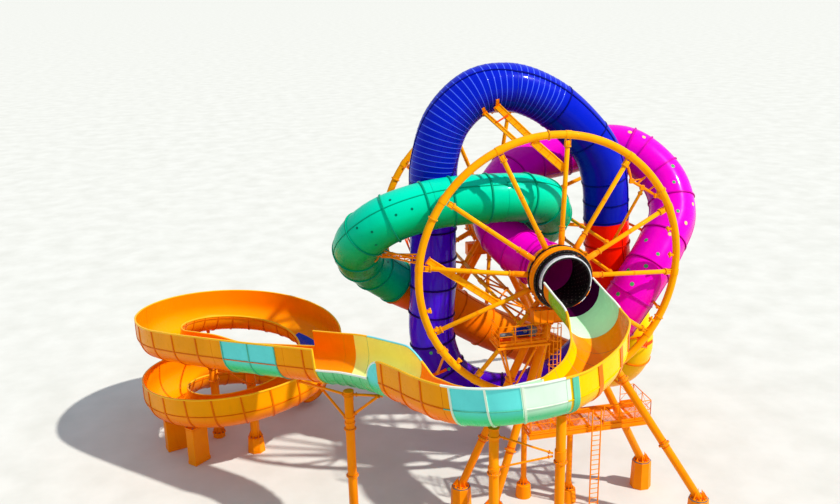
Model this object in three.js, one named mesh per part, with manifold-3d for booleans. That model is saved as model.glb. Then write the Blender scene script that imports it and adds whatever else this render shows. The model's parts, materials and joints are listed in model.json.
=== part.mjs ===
// Rotating water slide tower. Millimetres, +Z up, origin on the ground under the middle of the bounding box.
// A closed slide tube winds between two spoked wheels that turn together on two bearings.
// Riders enter through the rear hub, leave through the front hub, and run down an open flume into a two-turn helix.
import * as THREE from "three";
import { mergeVertices } from "three/addons/utils/BufferGeometryUtils.js";
import Module from "manifold-3d";

const wasm = await Module();
wasm.setup();

// ---- driving dimensions (mm) ----
const HUB_HEIGHT = 13100; // wheel axis above the ground
const ORIGIN_X = 6248; // wheel axis from the origin, along X
const ORIGIN_Y = -3006.5; // front wheel plane from the origin, along Y
const RING_R = 7500; // ring centreline radius
const RING_TUBE_R = 220; // ring tube radius
const WHEEL_GAP = 10000; // distance between the two wheel planes
const SPOKES = 12;
const SPOKE_PHASE = -6; // degrees, angle of the first spoke above +X
const SPOKE_R = 160;
const TIE_RADIUS = 3.4; // metres from the axis to the ties between the two wheels
const TIE_SPOKES = [0, 1, 7, 8, 9, 11]; // spokes that carry a tie, counted from the first
const TUBE_R = 1430; // outside radius of the closed slide tube
const TUBE_WALL = 90;
const TUBE_SIDES = 12;
const FLUME_R = 1420; // outside radius of the open flume's round bottom
const FLUME_WALL = 80;
const GAP = 10; // half gap left at each joint between sections

// ---- paint ----
const paint = (color, roughness = 0.35, metalness = 0) =>
  new THREE.MeshStandardMaterial({ color, roughness, metalness });
const steelOrange = paint(0xf08010, 0.4);
const steelYellow = paint(0xf6a515, 0.4);
const green = paint(0x18a05a, 0.25);
const orange = paint(0xf58a12, 0.25);
const orangeRed = paint(0xf04a10, 0.25);
const yellow = paint(0xffd21c, 0.25);
const blue = paint(0x2026b4, 0.25);
const violet = paint(0x4a18b8, 0.25);
const purple = paint(0x5a1490, 0.25);
const magenta = paint(0xc4108c, 0.25);
const mint = paint(0xa6e6b4, 0.25);
const cyan = paint(0x40c4dc, 0.25);
const cream = paint(0xe6e88a, 0.25);
const darkSteel = paint(0x2c2422, 0.5, 0.4);

const group = new THREE.Group();
const V = (x, y, z) => new THREE.Vector3(x, y, z);

// wheel frame in metres (origin on the axis at the front wheel plane) to the part's frame in mm
const W = (x, y, z) =>
  V(x * 1000 + ORIGIN_X, y * 1000 + ORIGIN_Y, z * 1000 + HUB_HEIGHT);

function solid(geometry, matrix) {
  const g = geometry.clone();
  for (const name of Object.keys(g.attributes))
    if (name !== "position") g.deleteAttribute(name);
  if (matrix) g.applyMatrix4(matrix);
  const m = mergeVertices(g, 1e-3);
  return new wasm.Manifold(
    new wasm.Mesh({
      numProp: 3,
      vertProperties: new Float32Array(m.attributes.position.array),
      triVerts: new Uint32Array(m.index.array),
    }),
  );
}

function join(list) {
  return list.slice(1).reduce((a, b) => a.add(b), list[0]);
}

function addSolid(name, made, material) {
  const m = made.getMesh();
  const v = new Float32Array(m.numVert * 3);
  for (let i = 0; i < m.numVert; i++)
    v.set(m.vertProperties.subarray(i * m.numProp, i * m.numProp + 3), i * 3);
  const g = new THREE.BufferGeometry()
    .setAttribute("position", new THREE.BufferAttribute(v, 3))
    .setIndex(new THREE.BufferAttribute(new Uint32Array(m.triVerts), 1));
  g.computeVertexNormals();
  const mesh = new THREE.Mesh(g, material);
  mesh.name = name;
  group.add(mesh);
  return mesh;
}

// round bar between two points
function bar(a, b, r, sides = 8, r2 = r) {
  const d = b.clone().sub(a);
  const g = new THREE.CylinderGeometry(r2, r, d.length(), sides, 1);
  const m = new THREE.Matrix4().compose(
    a.clone().add(b).multiplyScalar(0.5),
    new THREE.Quaternion().setFromUnitVectors(V(0, 1, 0), d.clone().normalize()),
    V(1, 1, 1),
  );
  return solid(g, m);
}

function block(w, d, h, x, y, z, turn = 0) {
  const m = new THREE.Matrix4().makeRotationZ(turn);
  m.setPosition(x, y, z);
  return solid(new THREE.BoxGeometry(w, d, h), m);
}

// a stretch of a longer path, between the fractions a and b of its length
class Run extends THREE.Curve {
  constructor(path, a, b, level = false) {
    super();
    Object.assign(this, { path, a, b, level });
  }
  getPoint(t, out = V(0, 0, 0)) {
    return this.path.getPointAt(this.a + (this.b - this.a) * t, out);
  }
  getSpacedPoints(n = 5) {
    return Array.from({ length: n + 1 }, (_, i) => this.getPoint(i / n));
  }
  computeFrenetFrames(n) {
    const tangents = [],
      normals = [],
      binormals = [];
    for (let i = 0; i <= n; i++)
      tangents.push(
        this.path.getTangentAt(this.a + ((this.b - this.a) * i) / n).normalize(),
      );
    if (this.level) {
      for (const t of tangents) {
        const side = V(0, 0, 1).cross(t).normalize();
        normals.push(side);
        binormals.push(t.clone().cross(side).normalize());
      }
    } else {
      const t0 = tangents[0];
      let nrm = Math.abs(t0.z) < 0.9 ? V(0, 0, 1) : V(1, 0, 0);
      nrm.sub(t0.clone().multiplyScalar(nrm.dot(t0))).normalize();
      for (const t of tangents) {
        nrm = nrm.clone().sub(t.clone().multiplyScalar(nrm.dot(t))).normalize();
        normals.push(nrm.clone());
        binormals.push(t.clone().cross(nrm).normalize());
      }
    }
    return { tangents, normals, binormals };
  }
}

function ringShape(rOut, rIn, sides) {
  const s = new THREE.Shape();
  const k = 1 / Math.cos(Math.PI / sides / 1.0) ** 0.5; // keep the mean radius of the true circle
  for (let i = 0; i < sides; i++) {
    const a = ((i + 0.5) / sides) * 2 * Math.PI;
    const p = [rOut * k * Math.cos(a), rOut * k * Math.sin(a)];
    i ? s.lineTo(...p) : s.moveTo(...p);
  }
  s.closePath();
  if (rIn) {
    const h = new THREE.Path();
    for (let i = 0; i < sides; i++) {
      const a = -((i + 0.5) / sides) * 2 * Math.PI;
      const p = [rIn * k * Math.cos(a), rIn * k * Math.sin(a)];
      i ? h.lineTo(...p) : h.moveTo(...p);
    }
    h.closePath();
    s.holes.push(h);
  }
  return s;
}

// open flume section: round bottom, and a wall of height left and right above the centre (or below it, if negative)
function flumeShape(r, wall, left, right, arcs = 8) {
  const s = new THREE.Shape();
  const side = (rr, sign) => {
    const from = left < 0 ? Math.asin(left / rr) : 0;
    const to = -Math.PI - (right < 0 ? Math.asin(right / rr) : 0);
    const arc = [];
    for (let i = 0; i <= arcs; i++) {
      const a = from + ((to - from) * i) / arcs;
      arc.push([rr * Math.cos(a), rr * Math.sin(a)]);
    }
    if (left > 0) arc.unshift([rr, left]);
    if (right > 0) arc.push([-rr, right]);
    return sign > 0 ? arc : arc.reverse();
  };
  const pts = [...side(r, 1), ...side(r - wall, -1)].reverse();
  pts.forEach((p, i) => (i ? s.lineTo(...p) : s.moveTo(...p)));
  s.closePath();
  return s;
}

function sweep(shape, run, steps) {
  return solid(
    new THREE.ExtrudeGeometry(shape, { steps, extrudePath: run, bevelEnabled: false }),
  );
}

const lengthTable = (points) => {
  const path = new THREE.CatmullRomCurve3(points, false, "centripetal");
  path.arcLengthDivisions = 1200;
  return path;
};

// ---- the closed slide tube between the wheels ----
// [x, y, z, name of the section that starts here]
const TUBE_POINTS = [
  [0, 12.3, 0, "entry_tube"],
  [0, 11, 0],
  [0, 9.7, 0],
  [0.12, 8.9, 0.02],
  [0.6, 7.6, 0.25],
  [1.45, 6, 0.8],
  [1.25, 4, 2.25],
  [0, 2.6, 3.4],
  [-2.4, 2, 3.8, "green_tube_front"],
  [-6.2, 2, 3.7, "green_tube_return"],
  [-8.9, 2.1, 2.95],
  [-10.1, 3.1, 1.7],
  [-10.0, 4.7, 0.4],
  [-9.3, 6.3, -0.7],
  [-7.2, 7.8, -2.6, "orange_tube_lower"],
  [-4.5, 8.1, -4.2],
  [-1.9, 8.1, -6],
  [1.5, 8, -7.8],
  [4.2, 6.6, -8.9, "yellow_tube"],
  [6.45, 4.9, -8.6],
  [7.0, 4.05, -7],
  [6.75, 4.15, -5],
  [6.2, 4.7, -3.2, "red_tube"],
  [5.65, 4.95, -1.2],
  [5.4, 4.95, 1.2, "blue_tube_right"],
  [5.15, 4.8, 3.6],
  [4.55, 4.7, 5.4],
  [3.2, 4.7, 7.1],
  [1.3, 4.7, 8.65],
  [-0.9, 4.7, 9.5, "blue_tube_left"],
  [-2.9, 4.7, 9.3],
  [-4.6, 4.75, 7.8],
  [-5.35, 4.9, 5.5],
  [-5.45, 5, 3.25, "violet_tube"],
  [-5.5, 5.1, -2],
  [-5.6, 5.1, -5.5, "purple_tube"],
  [-4.6, 4.8, -8],
  [-2.2, 4, -9.2],
  [0.8, 3, -8.6],
  [3, 2.2, -6.6],
  [4.6, 1.8, -4.3, "magenta_tube_outer"],
  [6.2, 1.75, -1.9],
  [8, 2.8, -0.1],
  [9.3, 4, 1.5],
  [9.25, 5.4, 3.35],
  [7.6, 6.9, 5.0, "magenta_tube_rear"],
  [5.5, 7.9, 5.1],
  [3.4, 8.15, 4.7],
  [1.5, 8.0, 4.4],
  [-0.1, 7.3, 3.8],
  [-1.2, 6.1, 2.85, "magenta_tube_exit"],
  [-1.75, 4.4, 1.55],
  [-0.95, 2.25, 0.4],
  [-0.15, 0.95, 0.02],
  [0, 0.2, 0],
  [0, -1, 0],
  [0, -2.2, 0],
];
const tubeMaterial = {
  entry_tube: green,
  green_tube_front: green,
  green_tube_return: green,
  orange_tube_lower: orange,
  yellow_tube: yellow,
  red_tube: orangeRed,
  blue_tube_right: blue,
  blue_tube_left: blue,
  violet_tube: violet,
  purple_tube: purple,
  magenta_tube_outer: magenta,
  magenta_tube_rear: magenta,
  magenta_tube_exit: magenta,
};
const tubePath = lengthTable(TUBE_POINTS.map((p) => W(p[0], p[1], p[2])));
const tubeLength = tubePath.getLength();

// fraction of the path's length at control point i
function fractionAt(path, count, i) {
  const lengths = path.getLengths();
  const t = (i / (count - 1)) * (lengths.length - 1);
  const k = Math.min(Math.floor(t), lengths.length - 2);
  return (
    (lengths[k] + (lengths[k + 1] - lengths[k]) * (t - k)) /
    lengths[lengths.length - 1]
  );
}

const starts = TUBE_POINTS.map((p, i) => [p[3], i]).filter((s) => s[0]);
starts.forEach(([name, i], k) => {
  const a = fractionAt(tubePath, TUBE_POINTS.length, i);
  const b =
    k + 1 < starts.length
      ? fractionAt(tubePath, TUBE_POINTS.length, starts[k + 1][1])
      : 1;
  const g = GAP / tubeLength;
  const run = new Run(tubePath, a + (k ? g : 0), b - (k + 1 < starts.length ? g : 0));
  const steps = Math.max(4, Math.round(((b - a) * tubeLength) / 1500));
  addSolid(name, sweep(ringShape(TUBE_R, TUBE_R - TUBE_WALL, TUBE_SIDES), run, steps), tubeMaterial[name]);
});

// ---- wheels ----
class Arc extends THREE.Curve {
  constructor(centre, r, a0, a1) {
    super();
    Object.assign(this, { centre, r, a0, a1 });
  }
  getPoint(t, out = V(0, 0, 0)) {
    const a = this.a0 + (this.a1 - this.a0) * t;
    return out.set(
      this.centre.x + this.r * Math.cos(a),
      this.centre.y,
      this.centre.z + this.r * Math.sin(a),
    );
  }
  getSpacedPoints(n = 5) {
    return Array.from({ length: n + 1 }, (_, i) => this.getPoint(i / n));
  }
  computeFrenetFrames(n) {
    const tangents = [],
      normals = [],
      binormals = [];
    for (let i = 0; i <= n; i++) {
      const a = this.a0 + ((this.a1 - this.a0) * i) / n;
      const t = V(-Math.sin(a), 0, Math.cos(a));
      const nn = V(Math.cos(a), 0, Math.sin(a));
      tangents.push(t);
      normals.push(nn);
      binormals.push(t.clone().cross(nn));
    }
    return { tangents, normals, binormals };
  }
}

const HUB_FLANGE = { front: -0.95, rear: WHEEL_GAP / 1000 + 0.95 };
for (const side of ["front", "rear"]) {
  const y = side === "front" ? 0 : WHEEL_GAP / 1000;
  const out = side === "front" ? -1 : 1;
  const centre = W(0, y, 0);
  const deg = Math.PI / 180;
  // the ring, in two halves
  for (const [half, a0] of [["upper", SPOKE_PHASE + 15], ["lower", SPOKE_PHASE + 195]]) {
    const eps = 0.00004;
    addSolid(
      side + "_ring_" + half,
      sweep(
        ringShape(RING_TUBE_R, 0, 8),
        new Arc(centre, RING_R, a0 * deg + eps, (a0 + 180) * deg - eps),
        24,
      ),
      steelYellow,
    );
  }
  // hub: a short tube round the slide tube with a flange that carries the spokes
  const prof = [
    [1.48, -0.3], [1.56, -0.3], [1.56, -0.75], [1.62, -0.75], [1.62, -1.05],
    [1.53, -1.05], [1.53, -1.95], [1.48, -1.95], [1.48, -0.3],
  ].map(([r, h]) => new THREE.Vector2(r * 1000, h * 1000));
  const hub = solid(
    new THREE.LatheGeometry(prof.slice().reverse(), 24),
    new THREE.Matrix4()
      .makeTranslation(centre.x, centre.y, centre.z)
      .multiply(new THREE.Matrix4().makeRotationX(side === "front" ? 0 : Math.PI)),
  );
  addSolid(side + "_hub", hub, steelOrange);
  // spokes: from the hub flange out to the ring
  const spokes = [];
  for (let i = 0; i < SPOKES; i++) {
    const a = (SPOKE_PHASE + (i * 360) / SPOKES) * deg;
    const inner = W(1.72 * Math.cos(a), y + out * 0.9, 1.72 * Math.sin(a));
    const outer = W(
      ((RING_R - RING_TUBE_R - 35) / 1000) * Math.cos(a),
      y,
      ((RING_R - RING_TUBE_R - 35) / 1000) * Math.sin(a),
    );
    spokes.push(bar(inner, outer, SPOKE_R, 6));
  }
  // ties from the front wheel's spokes across to the rear wheel's
  if (side === "front")
    for (const i of TIE_SPOKES) {
      const a = (SPOKE_PHASE + (i * 360) / SPOKES) * deg;
      const [cx, cz] = [TIE_RADIUS * Math.cos(a), TIE_RADIUS * Math.sin(a)];
      spokes.push(bar(W(cx, -0.63, cz), W(cx, WHEEL_GAP / 1000 + 0.43, cz), 110, 6));
    }
  const collarProf = [
    [1.635, -0.74], [1.80, -0.74], [1.80, -1.06], [1.635, -1.06], [1.635, -0.74],
  ].map(([r, h]) => new THREE.Vector2(r * 1000, h * 1000));
  const collar = solid(
    new THREE.LatheGeometry(collarProf.slice().reverse(), 24),
    new THREE.Matrix4()
      .makeTranslation(centre.x, centre.y, centre.z)
      .multiply(new THREE.Matrix4().makeRotationX(side === "front" ? 0 : Math.PI)),
  );
  addSolid(side + "_spokes", join([collar, ...spokes]), steelYellow);
}

// ---- fixed bearing housings and trestles ----
for (const side of ["front", "rear"]) {
  const y0 = side === "front" ? 0 : WHEEL_GAP / 1000;
  const out = side === "front" ? -1 : 1;
  const centre = W(0, y0, 0);
  const prof = [
    [1.56, -1.16], [1.74, -1.16], [1.74, -1.8], [1.56, -1.8], [1.56, -1.16],
  ].map(([r, h]) => new THREE.Vector2(r * 1000, h * 1000));
  const ring = solid(
    new THREE.LatheGeometry(prof.slice().reverse(), 24),
    new THREE.Matrix4()
      .makeTranslation(centre.x, centre.y, centre.z)
      .multiply(new THREE.Matrix4().makeRotationX(side === "front" ? 0 : Math.PI)),
  );
  // saddle under the bearing, where the four legs meet
  const s0 = W(0, y0 + out * 1.5, -2.0);
  const saddle = block(3300, 640, 800, s0.x, s0.y, s0.z);
  addSolid(side + "_bearing_housing", join([ring, saddle]), steelOrange);
  const feet = [
    ["left_inner", -5.8, 2.0, -1.35],
    ["right_inner", 5.05, 2.0, 0.75],
    ["left_outer", -4.6, 4.25, -0.75],
    ["right_outer", 6.2, 6.4, 1.35],
  ];
  for (const [name, fx, fy, tx] of feet) {
    const top = W(tx, y0 + out * (name.endsWith("inner") ? 1.42 : 1.62), -2.42);
    const footTop = W(fx, y0 + out * fy, -11.4);
    const base = V(footTop.x, footTop.y, 0);
    const pedestal = solid(
      new THREE.CylinderGeometry(560, 620, 1700, 8, 1),
      new THREE.Matrix4().makeTranslation(base.x, base.y, 850).multiply(new THREE.Matrix4().makeRotationX(Math.PI / 2)),
    );
    const leg = bar(V(footTop.x, footTop.y, 1650), V(top.x, top.y, top.z), 230, 8);
    const cut = block(9000, 9000, 4000, top.x, top.y, top.z + 2000 + 15);
    addSolid(side + "_leg_" + name, join([pedestal, leg]).subtract(cut), steelOrange);
  }
}

// ---- open flume from the front hub, and the helix ----
const FLUME_POINTS = [
  [0, -2.45, -0.12, "flume_mint_start"],
  [0, -4, -0.33],
  [0, -5.7, -0.58, "flume_yellow_bend"],
  [-0.36, -7.4, -0.95],
  [-1.38, -8.85, -1.35],
  [-2.9, -9.85, -1.7],
  [-3.7, -10.05, -1.82, "flume_white"],
  [-5.3, -10.0, -2.0, "flume_cyan"],
  [-6.5, -9.55, -2.2],
  [-7.6, -8.65, -2.42, "flume_orange_bend"],
  [-8.35, -7.4, -2.6],
  [-8.9, -5.9, -2.8],
  [-9.5, -4.4, -3.0, "flume_cream"],
  [-10.35, -2.7, -3.25],
  [-11.4, -1.3, -3.45, "flume_orange_step"],
  [-12.45, -0.3, -3.62, "helix_entry"],
  [-13.95, 1.12, -3.86, "helix_cyan"],
  [-15.5, 2.58, -4.1],
  [-17.7, 4.64, -4.42, "helix_upper_left"],
];
const HELIX = { x: -16.92, y: 11.05, r: 5.05, z0: -4.85, drop: 4.2, from: -133 };
// [left wall, right wall] heights above the section's centre, seen in the riders' direction, in mm
const FLUME_LOOK = {
  flume_mint_start: [mint, 350, 350],
  flume_yellow_bend: [yellow, 950, -250],
  flume_white: [mint, 950, -300],
  flume_cyan: [cyan, 950, -300],
  flume_orange_bend: [orange, 950, -350],
  flume_cream: [cream, -150, 750],
  flume_orange_step: [orange, -250, 850],
  helix_entry: [orange, 950, 850],
  helix_cyan: [cyan, 950, -300],
  helix_upper_left: [orange, 950, 0],
  helix_upper_back: [orange, 950, 0],
  helix_lower_front: [orange, 950, 0],
  helix_lower_back: [orange, 950, 0],
};
// helix: clockwise from above, sections start after so many sixteenths of a turn
const HELIX_STARTS = { 3: "helix_upper_back", 10: "helix_lower_front", 17: "helix_lower_back" };
for (let i = 0; i <= 25; i++) {
  const f = i / 16;
  const a = ((HELIX.from - f * 360) * Math.PI) / 180;
  FLUME_POINTS.push([
    HELIX.x + HELIX.r * Math.cos(a),
    HELIX.y + HELIX.r * Math.sin(a),
    HELIX.z0 - HELIX.drop * f,
    HELIX_STARTS[i],
  ]);
}
const flumePath = lengthTable(FLUME_POINTS.map((p) => W(p[0], p[1], p[2])));
const flumeLength = flumePath.getLength();
const flumeStarts = FLUME_POINTS.map((p, i) => [p[3], i]).filter((s) => s[0]);
flumeStarts.forEach(([name, i], k) => {
  const a = fractionAt(flumePath, FLUME_POINTS.length, i);
  const b =
    k + 1 < flumeStarts.length
      ? fractionAt(flumePath, FLUME_POINTS.length, flumeStarts[k + 1][1])
      : 1;
  const g = GAP / flumeLength;
  const run = new Run(flumePath, a + (k ? g : 0), b - (k + 1 < flumeStarts.length ? g : 0), true);
  const [material, left, right] = FLUME_LOOK[name];
  const steps = Math.max(3, Math.round(((b - a) * flumeLength) / 1250));
  addSolid(name, sweep(flumeShape(FLUME_R, FLUME_WALL, left, right), run, steps), material);
});

// ---- columns under the flume: [name, x, y, foot of the arms, radius, [path fraction, side angle] of each arm] ----
// a point just outside the flume's skin, at an angle round its section (-90 is straight below, 0 the riders' left)
function flumeSkin(f, angle, clear) {
  const t = flumePath.getTangentAt(f).normalize();
  const side = V(0, 0, 1).cross(t).normalize();
  const up = t.clone().cross(side).normalize();
  const a = (angle * Math.PI) / 180;
  return flumePath
    .getPointAt(f)
    .add(side.multiplyScalar((FLUME_R + clear) * Math.cos(a)))
    .add(up.multiplyScalar((FLUME_R + clear) * Math.sin(a)));
}
const at = (i) => fractionAt(flumePath, FLUME_POINTS.length, i);
const HELIX_0 = FLUME_POINTS.findIndex((p) => p[3] === "helix_cyan") + 1;
const COLUMNS = [
  ["column_bend", -3.2, -9.9, 0.24, 6],
  ["column_cyan", -6.3, -9.6, 0.24, 8.1],
  ["column_step", -11.9, -2.72, 0.25, null, -4.5],
  ["column_helix", -16.6, 8.0, 0.3, null, -6.9],
  ["column_helix_left", -18.9, 10.5, 0.28, null, -7.6],
];
const BASE_OF = { column_helix_left: [420, 420, 300] };
const ARMS = {
  column_step: [[12.75, -80, -4.7], [12.75, -70, -6.0], [16.05, -80, -4.75], [15.4, -75, -6.3]],
  column_helix: [[HELIX_0 + 1.5, -120, -7.6], [HELIX_0 + 1, -120, -7.6], [HELIX_0 + 0.2, -120, -7.2]],
  column_helix_left: [[HELIX_0 + 2.2, -125, -8.2], [HELIX_0 + 3.6, -125, -8.2]],
};
for (const [name, x, y, r, under, topZ] of COLUMNS) {
  const base = W(x, y, -HUB_HEIGHT / 1000);
  const top = under === null ? W(x, y, topZ).z : flumePath.getPointAt(at(under)).z - FLUME_R - 130;
  const [b1, b2, bh] = BASE_OF[name] || [520, 600, 1000];
  const parts = [
    solid(
      new THREE.CylinderGeometry(b1, b2, bh, 8, 1),
      new THREE.Matrix4().makeTranslation(base.x, base.y, bh / 2).multiply(new THREE.Matrix4().makeRotationX(Math.PI / 2)),
    ),
    bar(V(base.x, base.y, bh - 100), V(base.x, base.y, top), r * 1000, 8),
  ];
  for (const [i, angle, from] of ARMS[name] || [])
    parts.push(bar(W(x, y, from), flumeSkin(at(i), angle, 110), 80, 6));
  if (name === "column_cyan")
    for (const [z0, z1] of [[-4.25, -5.35], [-5.85, -5.5]])
      parts.push(bar(W(x, y, z0), W(-3.2 - 0.34, -9.88, z1), 55, 6));
  addSolid(name, join(parts), steelOrange);
}
// two rectangular plinths under the lower turn of the helix
const PLINTH_DROP = { helix_plinth_front: 640, helix_plinth_left: 680 };
for (const [name, x, y, i, turn] of [
  ["helix_plinth_front", -20.15, 7.5, HELIX_0 + 15.9, 0.75],
  ["helix_plinth_left", -21.6, 9.6, HELIX_0 + 17.2, 0.3],
]) {
  const base = W(x, y, 0);
  const top = flumePath.getPointAt(at(i)).z - FLUME_R - PLINTH_DROP[name];
  addSolid(name, block(1250, 700, top, base.x, base.y, top / 2, turn), steelOrange);
}

// ---- service gallery between the front legs, with its ladder, and the deck under the front hub ----
const DECK_Z = -8.1;
const legBars = [];
for (const [fx, fy, tx, o] of [[-5.8, 2.0, -1.35, 1.42], [5.05, 2.0, 0.75, 1.42], [-4.6, 4.25, -0.75, 1.62], [6.2, 6.4, 1.35, 1.62]])
  legBars.push(bar(W(fx, -fy, -11.45), W(tx, -o, -2.42), 270, 8));
const clearOfLegs = (made) => legBars.reduce((m, l) => m.subtract(l), made);
const G = { x0: -2.3, x1: 4.85, y0: -3.3, y1: -1.0 };
{
  const c = W((G.x0 + G.x1) / 2, (G.y0 + G.y1) / 2, DECK_Z - 0.05);
  const parts = [block((G.x1 - G.x0) * 1000, (G.y1 - G.y0) * 1000, 100, c.x, c.y, c.z)];
  // edge beams
  for (const y of [G.y0 + 0.08, G.y1 - 0.08]) {
    const b = W((G.x0 + G.x1) / 2, y, DECK_Z - 0.2);
    parts.push(block((G.x1 - G.x0) * 1000, 160, 260, b.x, b.y, b.z));
  }
  let deck = clearOfLegs(join(parts));
  // posts down to round blocks on the ground
  for (const [x, y] of [[0.4, -2.4], [-1.9, -1.3]]) {
    const g = W(x, y, -HUB_HEIGHT / 1000);
    deck = deck
      .add(bar(V(g.x, g.y, 500), V(g.x, g.y, W(0, 0, DECK_Z - 0.05).z), 170, 8))
      .add(
        solid(
          new THREE.CylinderGeometry(400, 450, 800, 8, 1),
          new THREE.Matrix4().makeTranslation(g.x, g.y, 400).multiply(new THREE.Matrix4().makeRotationX(Math.PI / 2)),
        ),
      );
  }
  addSolid("service_gallery", deck, steelOrange);
}
function railing(points, z, posts) {
  const parts = [];
  for (const h of [0.55, 1.1])
    for (let i = 0; i + 1 < points.length; i++) {
      const [a, b] = [points[i], points[i + 1]];
      parts.push(bar(W(a[0], a[1], z + h), W(b[0], b[1], z + h), 28, 6));
    }
  for (let i = 0; i + 1 < points.length; i++) {
    const [a, b] = [points[i], points[i + 1]];
    const n = Math.max(1, Math.round(Math.hypot(b[0] - a[0], b[1] - a[1]) / posts));
    for (let k = i ? 1 : 0; k <= n; k++) {
      const x = a[0] + ((b[0] - a[0]) * k) / n,
        y = a[1] + ((b[1] - a[1]) * k) / n;
      parts.push(bar(W(x, y, z + 0.003), W(x, y, z + 1.12), 30, 6));
    }
  }
  return join(parts);
}
addSolid("gallery_railing_front", clearOfLegs(railing([[-2.2, -3.22], [1.1, -3.22]], DECK_Z, 1.15)), steelOrange);
addSolid("gallery_railing_right", railing([[2.0, -3.22], [4.77, -3.22], [4.77, -1.08], [3.95, -1.08]], DECK_Z, 1.0), steelOrange);
addSolid("gallery_railing_left", railing([[-2.22, -3.1], [-2.22, -1.08]], DECK_Z, 1.0), steelOrange);
{
  // ladder from the ground to the gallery
  const parts = [];
  const [x0, x1, y] = [1.25, 1.75, -3.42];
  for (const x of [x0, x1]) parts.push(bar(W(x, y, -13.1), W(x, y, DECK_Z + 1.05), 32, 6));
  for (let z = -12.8; z < DECK_Z + 0.9; z += 0.3) parts.push(bar(W(x0, y, z), W(x1, y, z), 16, 6));
  addSolid("ground_ladder", join(parts), steelOrange);
}
{
  // deck beside the front bearing, hung from the saddle's side, with the drive housing
  const c = W(-2.55, -2.2, -3.05);
  const deck = block(2900, 1500, 90, c.x, c.y, c.z);
  // its two brackets lean on the left inner leg and on the saddle
  const parts = [deck];
  for (const x of [-1.75, -3.6]) {
    const b = W(x, -2.2, -3.16);
    parts.push(block(120, 1500, 160, b.x, b.y, b.z));
  }
  parts.push(bar(W(-3.6, -2.7, -3.2), W(-2.75, -1.75, -6.1), 70, 6));
  parts.push(bar(W(-3.6, -1.6, -3.2), W(-2.75, -1.6, -6.1), 70, 6));
  parts.push(bar(W(-1.75, -2.7, -3.2), W(-2.75, -1.75, -6.1), 70, 6));
  const rest = W(-1.75, -1.62, -2.72);
  parts.push(block(120, 560, 660, rest.x, rest.y, rest.z - 60));
  const joined = clearOfLegs(join(parts));
  addSolid("hub_deck", joined.decompose().sort((a, b) => b.volume() - a.volume())[0], steelOrange);
  addSolid("hub_deck_railing", railing([[-1.25, -2.85], [-3.9, -2.85], [-3.9, -1.55]], -3.0, 1.0), steelOrange);
}

export default group;
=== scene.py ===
import json
import math
import random

import bpy
import numpy as np
from mathutils import Matrix, Vector


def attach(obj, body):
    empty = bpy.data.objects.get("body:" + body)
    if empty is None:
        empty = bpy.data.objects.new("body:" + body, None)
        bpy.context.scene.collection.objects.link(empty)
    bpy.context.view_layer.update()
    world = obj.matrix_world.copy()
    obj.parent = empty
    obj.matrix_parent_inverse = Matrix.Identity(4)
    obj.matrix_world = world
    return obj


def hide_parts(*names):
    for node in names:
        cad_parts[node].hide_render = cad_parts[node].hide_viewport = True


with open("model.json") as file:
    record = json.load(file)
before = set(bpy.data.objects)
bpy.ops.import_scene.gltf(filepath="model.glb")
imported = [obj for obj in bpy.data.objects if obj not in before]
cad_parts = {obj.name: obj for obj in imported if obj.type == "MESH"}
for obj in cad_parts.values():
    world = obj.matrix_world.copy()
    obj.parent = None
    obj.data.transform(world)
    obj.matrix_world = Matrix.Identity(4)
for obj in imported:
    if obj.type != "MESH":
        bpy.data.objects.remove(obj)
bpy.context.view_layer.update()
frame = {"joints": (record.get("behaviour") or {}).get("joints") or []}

RNG = random.Random(7)
O = np.array(frame["joints"][0]["pos_m"], float)  # wheel axis at the front wheel plane
A = np.array
UP = A([0.0, 0.0, 1.0])


def nrm(v):
    v = np.asarray(v, float)
    return v / max(np.linalg.norm(v), 1e-12)


# ---------------------------------------------------------------- materials
def lin(h):
    c = [int(h[i : i + 2], 16) / 255 for i in (1, 3, 5)]
    return tuple(x / 12.92 if x <= 0.04045 else ((x + 0.055) / 1.055) ** 2.4 for x in c) + (1.0,)


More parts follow.
